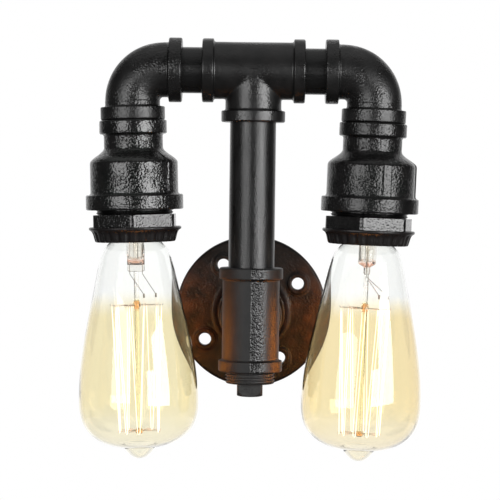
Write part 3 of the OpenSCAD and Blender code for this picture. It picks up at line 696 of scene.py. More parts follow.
@dataclass(frozen=True)
class CastEnamel(Finish):
    """Black enamel sprayed on sand-cast malleable iron.

    The sand's grain shows through the paint as a pebbled gloss, and the metal under it waves a
    little, so that lamps break up into bright grains. A grain of 1 mm is coarser than real sand,
    which is lost in a small picture.
    """

    deep: str = "#0d0d0d"
    pale: str = "#181717"
    grain: float = 1.15
    swell: float = 6.0
    patch: float = 13.0
    relief: float = 0.24
    calm: float = 0.25
    wave: float = 0.2
    gloss: Pair = (0.18, 0.32)
    shine: float = 0.75

    def tone(self, nodes: Nodes, place: Socket, swell: Socket) -> Socket:
        """How pale the coat is."""
        return nodes.ramp(swell, (0.35, 0.65))

    def skin(self, nodes: Nodes, place: Socket, grain: Socket, swell: Socket) -> tuple[Socket, Socket]:
        """Makes patches of duller and coarser skin.

        Args:
            nodes: The tree to fill.
            place: The shaded point.
            grain: The sand's grain.
            swell: The waves of the metal. Not used.

        Returns:
            Roughness and height.
        """
        patch = nodes.noise(place, self.patch, 1.5)
        coarse = nodes.ramp(patch, (0.42, 0.6), (self.calm, 1.0))
        return nodes.ramp(patch, (0.4, 0.62), self.gloss[::-1]), nodes.math("MULTIPLY", grain, coarse)

    def shade(self, nodes: Nodes) -> Socket:
        """Adds this finish's nodes.

        Args:
            nodes: The tree to fill.

        Returns:
            The shader.
        """
        place = nodes.place()
        swell = nodes.noise(place, self.swell)
        sand = nodes.one("TexVoronoi", {"Vector": place, "Scale": 1 / (self.grain * MM), "Smoothness": 0.5},
                         feature="SMOOTH_F1")
        grain = nodes.math("MULTIPLY_ADD", sand, -1.0, nodes.noise(place, self.grain * 0.8, 1.0))
        colour = nodes.mix(self.tone(nodes, place, swell), self.deep, self.pale)
        rough, height = self.skin(nodes, place, grain, swell)
        bump = nodes.bump(height, self.relief, nodes.bump(swell, self.wave))
        return nodes.surface(colour, rough, IOR=1.5, Specular_IOR_Level=self.shine, Normal=bump)


@dataclass(frozen=True)
class SeamedEnamel(CastEnamel):
    """Enamel on a casting whose mould seam runs up the front, pebbled to its right and smooth elsewhere."""

    ridge: float = 0.7
    ridge_w: float = 0.6
    stray: float = 1.6
    pebbled: Pair = (5.5, 9.5)
    dulled: float = 0.28

    def skin(self, nodes: Nodes, place: Socket, grain: Socket, swell: Socket) -> tuple[Socket, Socket]:
        """Makes the skin by the way from the seam, which strays a little.

        Args:
            nodes: The tree to fill.
            place: The shaded point.
            grain: The sand's grain.
            swell: The waves of the metal.

        Returns:
            Roughness and height.
        """
        stray = nodes.math("MULTIPLY_ADD", swell, self.stray * MM, -self.stray * MM / 2)
        way = nodes.math("ADD", nodes.part(place, "Y"), stray)
        off, edge = nodes.math("ABSOLUTE", way), self.ridge_w * MM / 2
        ridge = nodes.ramp(off, (0.0, 2 * edge), (self.ridge, 0.0), smooth=True)
        left = nodes.ramp(way, (edge, -edge))
        flank = nodes.ramp(way, metres(self.pebbled))
        coarse = nodes.ramp(nodes.math("MAXIMUM", left, flank), end=(1.0, self.calm))
        dull = nodes.math("MULTIPLY_ADD", flank, self.dulled, self.gloss[0])
        rough = nodes.math("MAXIMUM", dull, nodes.math("MULTIPLY", left, self.gloss[1]))
        return rough, nodes.math("MULTIPLY_ADD", grain, coarse, ridge)


@dataclass(frozen=True)
class BloomedEnamel(CastEnamel):
    """Dark japan on a flange, with a painted warm glow of the bulbs to the left and right of its middle."""

    # wide and tall: where the painted glow of the bulbs starts and where it is full, in mm from the middle
    wide: Pair = (12.0, 34.0)
    tall: Pair = (36.0, 8.0)

    def tone(self, nodes: Nodes, place: Socket, swell: Socket) -> Socket:
        """Says how far the painted glow of the bulbs lifts the coat: none in the middle, at the top and at
        the foot.

        Args:
            nodes: The tree to fill.
            place: The shaded point.
            swell: The waves of the metal.

        Returns:
            How pale it is, from 0 to 1.
        """
        tone = super().tone(nodes, place, swell)
        for axis, ends in (("X", self.wide), ("Z", self.tall)):
            off = nodes.math("ABSOLUTE", nodes.part(place, axis))
            tone = nodes.math("MULTIPLY", tone, nodes.ramp(off, metres(ends), smooth=True))
        return tone


@dataclass(frozen=True)
class PaintedSteel(Finish):
    """Satin black enamel on drawn steel tube: a fine even peel with faint marks along the tube."""

    deep: str = "#0e0e0e"
    pale: str = "#161616"
    grain: float = 0.9
    marks: float = 1.4
    stretch: float = 0.08
    mark_share: float = 0.35
    relief: float = 0.12
    gloss: Pair = (0.25, 0.36)
    shine: float = 0.6

    def shade(self, nodes: Nodes) -> Socket:
        """Adds this finish's nodes.

        Args:
            nodes: The tree to fill.

        Returns:
            The shader.
        """
        place = nodes.place()
        drawn = nodes.one("Mapping", {"Vector": place, "Scale": (1.0, 1.0, self.stretch)})
        marks = nodes.noise(drawn, self.marks, 3.0)
        height = nodes.math("MULTIPLY_ADD", marks, self.mark_share, nodes.noise(place, self.grain))
        colour, rough = nodes.mix(marks, self.deep, self.pale), nodes.ramp(marks, (0.3, 0.7), self.gloss)
        return nodes.surface(colour, rough, IOR=1.5, Specular_IOR_Level=self.shine,
                             Normal=nodes.bump(height, self.relief))


@dataclass(frozen=True)
class BlownGlass(Finish):
    """Blown soda-lime glass, clear at the neck and stained amber further down.

    The wall is longer along the ray at the outline, so the stain is deeper there; the grey rim on the very
    outline is painted shade.
    Lamps shine through it in a straight line.
    """

    clear: str = "#fbfcfb"
    amber: str = "#f4eed6"
    edge: str = "#ecddb3"
    # rim: grey of the painted shade on the very outline
    rim: str = "#c6c1b6"
    fade: Pair = (-114.0, -130.0)
    thin: Pair = (-172.0, -200.0)
    cloud: float = 18.0
    drift: float = 8.0
    side_power: float = 2.2
    rim_power: float = 14.0
    ripple: float = 14.0
    relief: float = 0.12

    def shade(self, nodes: Nodes) -> Socket:
        """Adds this finish's nodes.

        Args:
            nodes: The tree to fill.

        Returns:
            The shader.
        """
        place = nodes.place()
        cloud = nodes.noise(place, self.cloud, 1.0)
        height = nodes.math("MULTIPLY_ADD", cloud, self.drift * MM, nodes.part(place, "Z"))
        stain = nodes.math("MULTIPLY", nodes.ramp(height, metres(self.fade), smooth=True),
                           nodes.ramp(height, metres(self.thin), (1.0, 0.5), smooth=True))
        facing = nodes.one("LayerWeight", {"Blend": 0.5}, "Facing")
        amber = nodes.mix(nodes.math("POWER", facing, self.side_power), self.amber, self.edge)
        body = nodes.mix(stain, self.clear, amber)
        # painted shade: the rim's grey darkens the very outline
        colour = nodes.mix(nodes.math("POWER", facing, self.rim_power), body, self.rim)
        bump = nodes.bump(nodes.noise(place, self.ripple, 0.0), self.relief)
        glass = nodes.surface(colour, 0.0, IOR=1.5, Transmission_Weight=1.0, Normal=bump)
        straight = nodes.math("MAXIMUM", nodes.blurred(), nodes.lighting())
        return nodes.either(straight, glass, nodes.one("BsdfTransparent", {"Color": body}))


@dataclass(frozen=True)
class StemGlass(Finish):
    """Drawn lead glass of the stem: copper tinted where it seals the lead wires, warmer in the two beads.

    A tinted place is a height, and how far from it the tint starts to fade and ends.
    """

    clear: str = "#f4f2ee"
    rod: str = "#f7f3dc"
    rod_top: float = -123.5
    seal: str = "#d9a184"
    sealed: Point = (-103.4, 0.7, 1.7)
    bead: str = "#f8dfb8"
    beads: tuple[Point, Point] = ((-127.4, 2.2, 3.2), (-196.0, 1.4, 2.4))

    def shade(self, nodes: Nodes) -> Socket:
        """Adds this finish's nodes.

        Args:
            nodes: The tree to fill.

        Returns:
            The shader.
        """
        height = nodes.part(nodes.place(), "Z")
        colour = nodes.mix(nodes.math("LESS_THAN", height, self.rod_top * MM), self.clear, self.rod)
        places = [(*self.sealed, self.seal), *((*place, self.bead) for place in self.beads)]
        for middle, *fade, tint in places:
            away = nodes.math("ABSOLUTE", nodes.math("ADD", height, -middle * MM))
            colour = nodes.mix(nodes.ramp(away, metres(fade), (1.0, 0.0)), colour, tint)
        glass = nodes.surface(colour, 0.0, IOR=1.5, Transmission_Weight=1.0)
        return nodes.either(nodes.lighting(), glass, nodes.one("BsdfTransparent", {"Color": colour}))


@dataclass(frozen=True)
class GlowingFilament(Finish):
    """A carbonised filament at about 2100 K: white to the eye where it is hottest, orange in what it lights.

    It is cooler at the hooks, which carry heat away.
    """

    seen: str = "#fff0dc"
    cast: str = "#ffa058"
    glare: Pair = (1.1, 2.6)
    hot: float = 32.0
    cold_end: Pair = (-126.5, -130.5)
    flicker: float = 5.0
    uneven: Pair = (0.85, 1.15)

    def shade(self, nodes: Nodes) -> Socket:
        """Adds this finish's nodes.

        Args:
            nodes: The tree to fill.

        Returns:
            The shader.
        """
        place = nodes.place()
        heat = nodes.ramp(nodes.part(place, "Z"), metres(self.cold_end))
        uneven = nodes.ramp(nodes.noise(place, self.flicker, 1.0), end=self.uneven)
        warm = nodes.math("MULTIPLY", heat, uneven)
        glare = nodes.glow(self.seen, nodes.ramp(warm, end=self.glare))
        light = nodes.glow(self.cast, nodes.math("MULTIPLY", warm, self.hot))
        return nodes.either(nodes.seen(), light, glare)


@dataclass(frozen=True)
class Grained(Finish):
    """Stuff in two shades of a colour, with a fine skin of its own."""

    colour: str
    fleck: str
    rough: float
    grain: float = 0.8
    relief: float = 0.02
    cloud: float = 5.0
    detail: float = 2.0
    spread: Pair = (-0.06, 0.08)

    def stuff(self) -> dict[str, float]:
        """What the shader needs to know of the stuff."""
        raise NotImplementedError

    def shade(self, nodes: Nodes) -> Socket:
        """Adds this finish's nodes.

        Args:
            nodes: The tree to fill.

        Returns:
            The shader.
        """
        place = nodes.place()
        fine = nodes.noise(place, self.grain, self.detail)
        colour = nodes.mix(nodes.noise(place, self.cloud, self.detail), self.colour, self.fleck)
        rough = nodes.ramp(fine, end=(self.rough + self.spread[0], self.rough + self.spread[1]))
        return nodes.surface(colour, rough, Normal=nodes.bump(fine, self.relief), **self.stuff())


@dataclass(frozen=True)
class Metal(Grained):
    """Bare or plated metal with the fine marks of drawing or turning."""

    grain: float = 0.5
    cloud: float = 4.0
    detail: float = 3.0
    spread: Pair = (-0.08, 0.12)

    def stuff(self) -> dict[str, float]:
        """A metal's reflection."""
        return {"Metallic": 1.0}


@dataclass(frozen=True)
class Moulded(Grained):
    """Moulded or fired stuff, such as bakelite, porcelain or cable sheath."""

    ior: float = 1.55
    shine: float = 0.5

    def stuff(self) -> dict[str, float]:
        """Refraction and strength of the gloss."""
        return {"IOR": self.ior, "Specular_IOR_Level": self.shine}


@dataclass(frozen=True)
class Backdrop(Finish):
    """Matt white paper: white to the camera, and a plain floor to the light."""

    fibre: float = 3.0
    paper: Pair = (0.42, 0.46)
    in_gloss: float = 0.3
    glow: float = 1.3
    fades: Pair = (420.0, 700.0)
    share: Pair = (0.62, 0.85)

    def shade(self, nodes: Nodes) -> Socket:
        """Adds this finish's nodes.

        Args:
            nodes: The tree to fill.

        Returns:
            The shader.
        """
        place = nodes.place()
        tone = nodes.ramp(nodes.noise(place, self.fibre), end=self.paper)
        dim = nodes.math("MULTIPLY_ADD", nodes.blurred(), self.in_gloss - 1.0, 1.0)
        paper = nodes.one("BsdfDiffuse", {"Color": nodes.math("MULTIPLY", tone, dim)})
        away = nodes.one("VectorMath", {0: place}, 1, operation="LENGTH")
        share = nodes.ramp(away, metres(self.fades), self.share, smooth=True)
        white = nodes.glow("#ffffff", self.glow)
        return nodes.either(nodes.math("MULTIPLY", nodes.seen(), share), paper, white)


# Elbows: gloss black that breaks the lamps up into grains.
CASTING = CastEnamel("black_enamel_on_cast_iron", grain=1.1, relief=0.22, gloss=(0.2, 0.38))
# Upper tee: smoother and duller, with long soft highlights.
SATIN = CastEnamel("satin_enamel_on_cast_tee", relief=0.1, gloss=(0.26, 0.36), shine=0.73)
# Lower tee: a bright line up its front with sandy grey beside it.
SEAMED = SeamedEnamel("satin_enamel_on_cast_tee_with_mould_seam", grain=0.95, relief=0.25, calm=0.05,
                      gloss=(0.2, 0.6), shine=0.7)
# Left reducer: the glossiest, like wet pebbles.
PEBBLED = CastEnamel("gloss_enamel_on_pebbled_cast_reducer", grain=1.1, relief=0.25, calm=0.5,
                     gloss=(0.09, 0.16), shine=0.85)
# Right reducer: the same pebbles under a duller coat.
DULLED = CastEnamel("dull_enamel_on_pebbled_cast_reducer", grain=1.1, relief=0.24, calm=0.5,
                    gloss=(0.12, 0.22), shine=0.56)
# Bushings: flats that catch a lamp whole, lightly pebbled.
BUSHING = CastEnamel("black_enamel_on_cast_bushing", grain=1.0, relief=0.12, calm=0.9, gloss=(0.1, 0.17),
                     shine=0.78)
# Plug: worn to a chalky charcoal.
PLUG_IRON = CastEnamel("weathered_enamel_on_square_plug", deep="#2e2e2e", pale="#3c3c3b", relief=0.16,
                       calm=0.6, gloss=(0.36, 0.48), shine=0.4)
# Flange: near black, with a painted warm glow of the bulbs in dull brown to the left and right.
FLANGE_IRON_WITH_PAINTED_GLOW = BloomedEnamel("brown_black_japan_on_cast_flange", deep="#0b0807", pale="#4a2a15", grain=1.4,
                            swell=8.0, relief=0.16, calm=0.4, wave=0.35, gloss=(0.38, 0.5), shine=0.4)
# Pipes: an even satin with straight streaks of light.
TUBE = PaintedSteel("satin_black_enamel_on_steel_tube")
# Shade rings: dull black with small glints on the flutes.
RING = Moulded("black_phenolic_shade_ring", "#151313", "#1d1919", 0.31, grain=0.9, relief=0.16)
# Holders: brown-black with a soft polish.
BAKELITE = Moulded("brown_black_bakelite", "#17130f", "#241b14", 0.32)
# Holder cores: chalky off-white.
PORCELAIN = Moulded("fired_steatite", "#ece8dd", "#ddd6c6", 0.5, grain=0.4, relief=0.01)
# Terminal block: milky plastic.
BLOCK = Moulded("ivory_polyamide_block", "#e6e2d6", "#dad5c6", 0.45)
# Leads: dull rubbery black.
SHEATH = Moulded("black_cable_sheath", "#1c1c1c", "#262626", 0.55, grain=0.5)
# Cap insulators: black glass with a sharp shine.
VITRITE = Moulded("black_vitrite_glass", "#130f0d", "#1d1613", 0.12, ior=1.6)
# Screw shells and terminals: yellow metal, a little tarnished.
BRASS = Metal("drawn_brass", "#b58a3c", "#7d6030", 0.3)
# Caps: warm silver threads.
NICKEL = Metal("nickel_plate", "#c2beb4", "#948f84", 0.24)
# Solder tips: soft grey metal.
TIN = Metal("tin_solder", "#b6b5af", "#85847d", 0.38, grain=0.9, relief=0.05)
# Lead wires and hooks: thin brownish lines.
WIRE = Metal("oxidised_nickel_wire", "#9b9182", "#7c7164", 0.45)
# Left glass: clear neck, pale amber body, darker outline.
AMBER_GLASS = BlownGlass("amber_stained_blown_glass")
# Right glass: the same in a warmer amber.
WARM_GLASS = BlownGlass("warmer_amber_stained_blown_glass", amber="#f6edd1", edge="#efd9aa")
# Stems: clear glass with a copper band and two honey beads.
STEM = StemGlass("drawn_lead_glass_stem")
# Filaments: white hot strands that light the iron orange.
GLOW = GlowingFilament("glowing_carbon_filament")
# Floor: plain white to the camera.
PAPER = Backdrop("matt_white_paper")

CARRIED: dict[str, Finish] = {
    "iron_fitting": CASTING, "iron_pipe": TUBE, "bakelite": BAKELITE, "porcelain": PORCELAIN, "brass": BRASS,
    "nickel": NICKEL, "solder": TIN, "vitrite": VITRITE, "cable_sheath": SHEATH, "block_plastic": BLOCK,
    "flange_iron": FLANGE_IRON_WITH_PAINTED_GLOW, "blackened_ring": RING, "amber_glass": AMBER_GLASS, "clear_glass": STEM,
    "filament_glow": GLOW, "steel_wire": WIRE,
}


# Pieces


def put(name: str, data: bpy.types.ID) -> bpy.types.Object:
    """Makes an object and links it to the scene.

    Args:
        name: Its name.
        data: Its mesh, lamp or camera.

    Returns:
        The object.
    """
    made = bpy.data.objects.new(name, data)
    bpy.context.scene.collection.objects.link(made)
    return made


def make_piece(name: str, shell: Shell, finish: Finish, body: str, stands_for: Sequence[str],
               place: Matrix | None = None, crease: float = CREASE) -> None:
    """Makes one piece of the lamp and puts it in place of its nodes.

    Args:
        name: The piece's name.
        shell: Its skin, in millimetres in its own frame.
        finish: Its surface.
        body: The body it rides on.
        stands_for: The nodes that it replaces.
        place: Its frame.
        crease: Angle in degrees above which an edge stays sharp.
    """
    mesh = bpy.data.meshes.new(name)
    mesh.from_pydata((shell.points * MM).tolist(), [], shell.faces)
    if shell.normals is None:
        work = bmesh.new()
        work.from_mesh(mesh)
        bmesh.ops.remove_doubles(work, verts=work.verts, dist=2e-6)
        bmesh.ops.dissolve_degenerate(work, edges=work.edges, dist=1e-6)
        bmesh.ops.recalc_face_normals(work, faces=work.faces)
        work.to_mesh(mesh)
        work.free()
        mesh.shade_smooth()
        mesh.set_sharp_from_angle(angle=radians(crease))
    else:
        mesh.shade_smooth()
        mesh.normals_split_custom_set_from_vertices(shell.normals.tolist())
    mesh.materials.append(finish.material())
    piece = put(name, mesh)
    place = place or Matrix.Identity(4)
    if body != "root":  # an arm leans: with its turn in the mesh, the piece's box stays true
        mesh.transform(place.to_3x3().to_4x4())
        place = Matrix.Translation(place.translation)
    piece.matrix_world = place
    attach(piece, body)
    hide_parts(*stands_for)
    log.info("%s: %d faces, body %s", name, len(mesh.polygons), body)


def pipe(start: float, end: float, sides: int, ease: float = 0.4) -> Shell:
    """A length of pipe with eased ends."""
    outer, bore = SIZES.pipe_d / 2, SIZES.pipe_bore / 2
    return lathe([(bore, start), (outer - ease, start), (outer, start + ease), (outer, end - ease),
                  (outer - ease, end), (bore, end)], sides)


@dataclass(frozen=True)
class FittingEnd:
    """The collared end of a screwed fitting."""

    body_d: float
    collar_d: float
    collar_w: float
    reach: float
    round: float = 0.9
    most_fillet: float = 1.3

    def outline(self, start: float) -> Outline:
        """Outline of the end, up to its collared face.

        Args:
            start: Depth where it starts.

        Returns:
            The open outline.
        """
        body, collar, foot = self.body_d / 2, self.collar_d / 2, self.reach - self.collar_w
        fillet, small = min(collar - body, self.most_fillet) * 0.9, self.round * 0.6
        return [(body, start), *arc((body + fillet, foot - fillet), fillet, 180, 90),
                *arc((collar - small, foot + small), small, -90, 0),
                *arc((collar - self.round, self.reach - self.round), self.round, 0, 90)]


def mouth(way: Point, reach: float) -> Field:
    """The threaded mouth of a fitting."""
    return rod_field(way, SIZES.socket_r, reach - SIZES.engage - SIZES.end_gap, reach + BEYOND)


@dataclass
class Tee:
    """A cast tee with three collared ends: run along X, branch up Z."""

    reach: float
    body_d: float = 30.7
    branch_d: float = 30.1
    collar_d: float = 34.3
    collar_w: float = 6.1
    fillet: float = 0.9

    def shell(self) -> Shell:
        """Makes the tee's skin.

        Returns:
            The skin, in the tee's own frame.
        """
        run, branch = (FittingEnd(body_d, self.collar_d, self.collar_w, self.reach).outline(0)
                       for body_d in (self.body_d, self.branch_d))
        whole_run = [(r, -s) for r, s in run[:0:-1]] + run[1:]
        solid = blended([Turned(whole_run, (1, 0, 0)), Turned(branch, (0, 0, 1))], self.fillet)
        cuts = [mouth(way, self.reach) for way in ((1, 0, 0), (-1, 0, 0), (0, 0, 1))]
        cuts += [rod_field((1, 0, 0), SIZES.way_d / 2, -self.reach, self.reach),
                 rod_field((0, 0, 1), SIZES.way_d / 2 - 0.2, 0, self.reach)]
        half, far = self.collar_d / 2 + MARGIN, self.reach + MARGIN
        return skin(hollowed(solid, cuts), (-far, -half, -half), (far, half, far))


@dataclass
class WallMount:
    """The four-hole floor flange on the wall. The nipple in its hub is carried over."""

    flange_d: float = 86.0
    flange_t: float = 6.0
    back_edge: float = 0.8
    front_edge: float = 1.8
    hub_d: float = 39.0
    hub_h: float = 16.0
    hub_edge: float = 1.4
    hub_fillet: float = 4.0
    screws: int = 4
    screw_pcd: float = 62.0
    screw_hole_d: float = 7.0
    screw_turn: float = 31.5
    boss_h: float = 0.8
    boss_w: float = 2.6
    boss_edge: float = 0.7
    boss_draft: float = 0.7
    boss_fillet: float = 0.8

    def build(self) -> None:
        """Makes the flange."""
        rim, hub, top, out = self.flange_d / 2, self.hub_d / 2, self.flange_t, (0, -1, 0)
        face = top + self.hub_h
        plate = [*arc((rim - self.back_edge, self.back_edge), self.back_edge, -90, 0, 5),
                 *arc((rim - self.front_edge, top - self.front_edge), self.front_edge, 0, 90),
                 *arc((hub + self.hub_fillet, top + self.hub_fillet), self.hub_fillet, 270, 180),
                 *arc((hub - self.hub_edge, face - self.hub_edge), self.hub_edge, 0, 90)]
        solids: list[Field] = [Turned(plate, out)]
        cuts = [rod_field(out, SIZES.way_d / 2, -BEYOND, face), mouth(out, face)]
        hole, crest = self.screw_hole_d / 2, top + self.boss_h
        wide = hole + self.boss_w
        boss = [(0, 1), (wide + 1, 1), (wide + self.boss_draft, top),
                *arc((wide - self.boss_edge, crest - self.boss_edge), self.boss_edge, 0, 90, 5),
                (hole + 0.8, crest), (hole, crest - 0.5), (0, crest - 0.5)]
        for i in range(self.screws):
            a = radians(self.screw_turn + 360 / self.screws * i)
            at = (self.screw_pcd / 2 * cos(a), 0, self.screw_pcd / 2 * sin(a))
            solids.append(Turned(boss, out, at))
            cuts.append(rod_field(out, hole, -BEYOND, top + BEYOND, at))
        half, solid = rim + MARGIN, hollowed(blended(solids, self.boss_fillet), cuts)
        shell = skin(solid, (-half, -face - MARGIN, -half), (half, MARGIN, half))
        make_piece("cast_wall_flange", shell, FLANGE_IRON_WITH_PAINTED_GLOW, "root", ["wall_flange"])


@dataclass
class Plug:
    """The square-head plug under the lower tee, with its last turns of thread showing."""

    show: float = 6.4
    crest_d: float = 26.4
    pitch: float = 1.81
    groove: float = 0.95
    hollow_r: float = 8.8
    hollow_h: float = 2.0
    chamfer: float = 0.8
    head_w: float = 13.8
    head_h: float = 7.0
    squareness: int = 14

    def thread(self, turn: Array, radius: Array, depth: Array) -> Array:
        """Cuts a right-hand thread into the skirt of the plug.

        Args:
            turn: Angle of each point round the axis.
            radius: Its radius.
            depth: Its depth.

        Returns:
            The changed radius.
        """
        start, end = SIZES.low_reach + 0.2, SIZES.low_reach + self.show - 0.7
        wave = 0.5 - 0.5 * np.cos(2 * pi * (depth / self.pitch + turn / (2 * pi)))
        shown = (depth > start) & (depth < end) & (radius > self.crest_d / 2 - 0.5)
        return np.where(shown, radius - self.groove * np.clip(wave * 1.5 - 0.35, 0, 1), radius)

    def square(self, turn: Array, radius: Array, depth: Array) -> Array:
        """Turns the round head into a square with eased corners.

        Args:
            turn: Angle of each point round the axis.
            radius: Its radius.
            depth: Its depth. Not used.

        Returns:
            The changed radius.
        """
        c, s, power = np.abs(np.cos(turn)), np.abs(np.sin(turn)), self.squareness
        square = self.head_w / 2 / (c**power + s**power) ** (1 / power)
        return np.where(radius > 0.01, np.minimum(square, radius), radius)

    def build(self) -> None:
        """Makes the plug in one piece with two skins that overlap."""
        face, top, foot = SIZES.low_reach, SIZES.low_reach - SIZES.engage, SIZES.low_reach + self.show
        crest, shank, half, tall = self.crest_d / 2, SIZES.pipe_d / 2, self.head_w / 2, foot + self.head_h
        rows = [(crest, face + 0.15 + (self.show - 1.2) * i / 60) for i in range(61)]
        skirt = [(0, top + self.hollow_h), (self.hollow_r, top + self.hollow_h), (self.hollow_r, top),
                 (shank - self.chamfer, top), (shank, top + self.chamfer), (shank, face), *rows,
                 *arc((crest - 1, foot - 1), 1.0, 0, 90, 6), (0, foot)]
        head = [(0, foot - 0.5), (self.head_w, foot - 0.5), (self.head_w, tall - 2.6),
                *bezier((half + 1.6, tall - 1.5), (half + 0.6, tall - 0.7), (half - 0.3, tall),
                        (half - 1.4, tall), steps=8), (0, tall)]
        skins = [lathe(skirt, 144, self.thread, ring=False), lathe(head, 192, self.square, ring=False)]
        make_piece("square_head_plug", Shell.joined(skins), PLUG_IRON, "root",
                   ["square_plug"], moved(0, -SIZES.stand_off, 0), crease=50)


@dataclass
class PipeFrame:
    """The two tees, the upright pipe and the cross nipples between them and the elbows."""

    plug: Plug = field(default_factory=Plug)

    def build(self) -> None:
        """Makes every piece of the frame."""
        low, top = moved(0, -SIZES.stand_off, 0), moved(0, -SIZES.stand_off, SIZES.rise)
        for word, reach, finish, place in (
                ("lower", SIZES.low_reach, SEAMED, low @ turned(-90, "X") @ turned(-90, "Z")),
                ("upper", SIZES.top_reach, SATIN, top @ turned(180, "X"))):
            make_piece(f"{word}_cast_tee", Tee(reach).shell(), finish, "root",
                       [f"{word}_tee"], place)
        start = SIZES.top_reach - SIZES.engage
        upright = pipe(start - SIZES.rise, SIZES.engage - SIZES.low_reach, 160)
        make_piece("upright_steel_pipe", upright, TUBE, "root", ["upright_pipe"], low)
        for side in Side:
            nipple = pipe(start, start + SIZES.cross_show + 2 * SIZES.engage, 128)
            make_piece(f"{side.word}_cross_steel_nipple", nipple, TUBE, "root",
                       [f"{side.word}_cross_nipple"], top @ turned(-90 * side.value, "Y"))
        self.plug.build()


@dataclass
class Hanging:
    """What there is one of on each side, riding on a body of its own."""

    side: Side
    body: str

    def piece(self, name: str, shell: Shell, finish: Finish, slot: str, node: str, place: Matrix,
              crease: float = CREASE) -> None:
        """Makes a piece. Its name, its body and its node start with the side's word.

        Args:
            name: Its name after the side's word.
            shell: Its skin, in millimetres in its own frame.
            finish: Its surface.
            slot: The record's material slot. Not used.
            node: The node that it replaces, after the side's word.
            place: Its frame.
            crease: Angle in degrees above which an edge stays sharp.
        """
        word = self.side.word
        body, stands_for = f"{word}_{self.body}", [f"{word}_{node}"]
        make_piece(f"{word}_{name}", shell, finish, body, stands_for, place, crease)


@dataclass
class LampArm(Hanging):
    """One hanging arm: elbow, reducer, hexagon bushing and shade ring."""

    body: str = "arm"
    elbow_body_d: float = 29.3
    elbow_collar_d: float = 34.6
    elbow_collar_w: float = 7.0
    elbow_fillet: float = 0.35
    small_collar_d: float = 36.3
    small_collar_w: float = 7.3
    neck_d: float = 31.8
    body_d: float = 47.3
    large_collar_d: float = 52.4
    large_collar_w: float = 8.1
    round: float = 0.9
    shoulder_in: Pair = (14.5, 23.0)
    rib_w: float = 4.6
    rib_h: float = 0.9
    rib_start: float = 15.5
    rib_ease: float = 0.35
    bush_thread_d: float = 41.9
    hex_d: float = 50.0
    hex_sharp: float = 18.0
    ring_d: float = 49.7
    ring_foot_d: float = 43.5
    flutes: int = 26
    flute_depth: float = 0.95
    paint: float = 0.12

    @property
    def rib_turns(self) -> Pair:
        """Angles of the two casting ribs round the arm, in degrees."""
        return (-72.0, 8.0) if self.side is Side.RIGHT else (-33.0, 147.0)

    @property
    def coat(self) -> Finish:
        """The reducer's enamel, which came out duller on the right."""
        return DULLED if self.side is Side.RIGHT else PEBBLED

    @property
    def hex_turn(self) -> float:
        """Turn of the hexagon, in degrees."""
        return 30.0 if self.side is Side.LEFT else 18.0

    @property
    def shoulder(self) -> Outline:
        """Outside of a reducer between its neck and its body."""
        start, end = (SIZES.reducer_top + depth for depth in self.shoulder_in)
        return sway(self.neck_d / 2, start, self.body_d / 2, end)

    def elbow(self) -> Shell:
        """Makes the elbow's skin, with its mouth toward the middle of the lamp.

        Returns:
            The skin, in the frame of the arm's corner.
        """
        lean, reach, bore = radians(SIZES.arm_lean), SIZES.elbow_reach, SIZES.way_d / 2
        ways = [np.array((-1.0, 0, 0)), np.array((-sin(lean), 0, -cos(lean)))]
        start = SIZES.bend_r / tan(acos(float(ways[0] @ ways[1])) / 2) - 0.3
        level = FittingEnd(self.elbow_body_d, self.elbow_collar_d, self.elbow_collar_w, reach)
        ends = [level, replace(level, reach=reach + self.paint)]
        solid = blended([*(Turned(end.outline(start), way) for end, way in zip(ends, ways)),
                         bend_field(*ways, SIZES.bend_r, self.elbow_body_d / 2)], self.elbow_fillet)
        cuts = [cut for way in ways for cut in (mouth(way, reach), rod_field(way, bore, start, reach))]
        cuts.append(bend_field(*ways, SIZES.bend_r, bore))
        side, far = self.elbow_collar_d / 2 + MARGIN, reach + MARGIN
        shell = skin(hollowed(solid, cuts), (-far, -side, -far), (side + 1, side, side))
        return shell if self.side is Side.RIGHT else shell.mirrored()

    def ribbed(self, turn: Array, radius: Array, depth: Array) -> Array:
        """Raises the casting ribs on a reducer's body.

        Args:
            turn: Angle of each point round the axis.
            radius: Its radius.
            depth: Its depth.

        Returns:
            The changed radius.
        """
        start, end = SIZES.reducer_top + self.rib_start, SIZES.reducer_foot - self.large_collar_w
        r, s = np.array(self.shoulder).T
        outside = radius > np.interp(depth, s, r) - 0.5
        along = np.clip((depth - start) / 6.0, 0, 1) * (depth < end + 0.1)
        total = np.zeros_like(radius)
        for at in self.rib_turns:
            off = np.abs((turn - radians(at) + pi) % (2 * pi) - pi) * self.body_d / 2
            total = total + np.clip((self.rib_w / 2 + self.rib_ease - off) / (2 * self.rib_ease), 0, 1)
        rise = self.rib_h * total * along * outside
        return np.where(radius + rise > self.large_collar_d / 2 - 0.5, radius, radius + rise)

    def reducer(self) -> Shell:
        """Makes the reducer's skin.

        Returns:
            The skin, in the arm's frame.
        """
        top, foot, q = SIZES.reducer_top, SIZES.reducer_foot, self.round
        body, small, large = self.body_d / 2, self.small_collar_d / 2, self.large_collar_d / 2
        neck, high, low = self.neck_d / 2, top + self.small_collar_w, foot - self.large_collar_w
        cavity, bore, thread = self.bush_thread_d / 2 + SIZES.fit, SIZES.way_d / 2, SIZES.socket_r
        start, seat = top + 23.5, top + SIZES.engage + SIZES.end_gap
        rows = [(body, start + (low - 2.2 - start) * i / 14) for i in range(15)]
        outline = [
            *arc((small - q, top - self.paint + q), q, -90, 0, 6), *arc((small - q, high - q), q, 0, 90, 6),
            *arc((neck + 1.2, high + 1.2), 1.2, -90, -180, 6), *self.shoulder, *rows,
            *arc((body + 1.3, low - 1.3), 1.3, 180, 90, 6), *arc((large - q, low + q), q, -90, 0, 6),
            *arc((large - q, foot - q), q, 0, 90, 6), (cavity + 0.6, foot), (cavity, foot - 0.6),
            *sway(cavity, top + 24.6, bore, top + 14.8, 12), (bore, seat), (thread, seat),
            (thread, top + 0.4), (thread + 0.4, top - self.paint)]
        return lathe(outline, 320, self.ribbed)

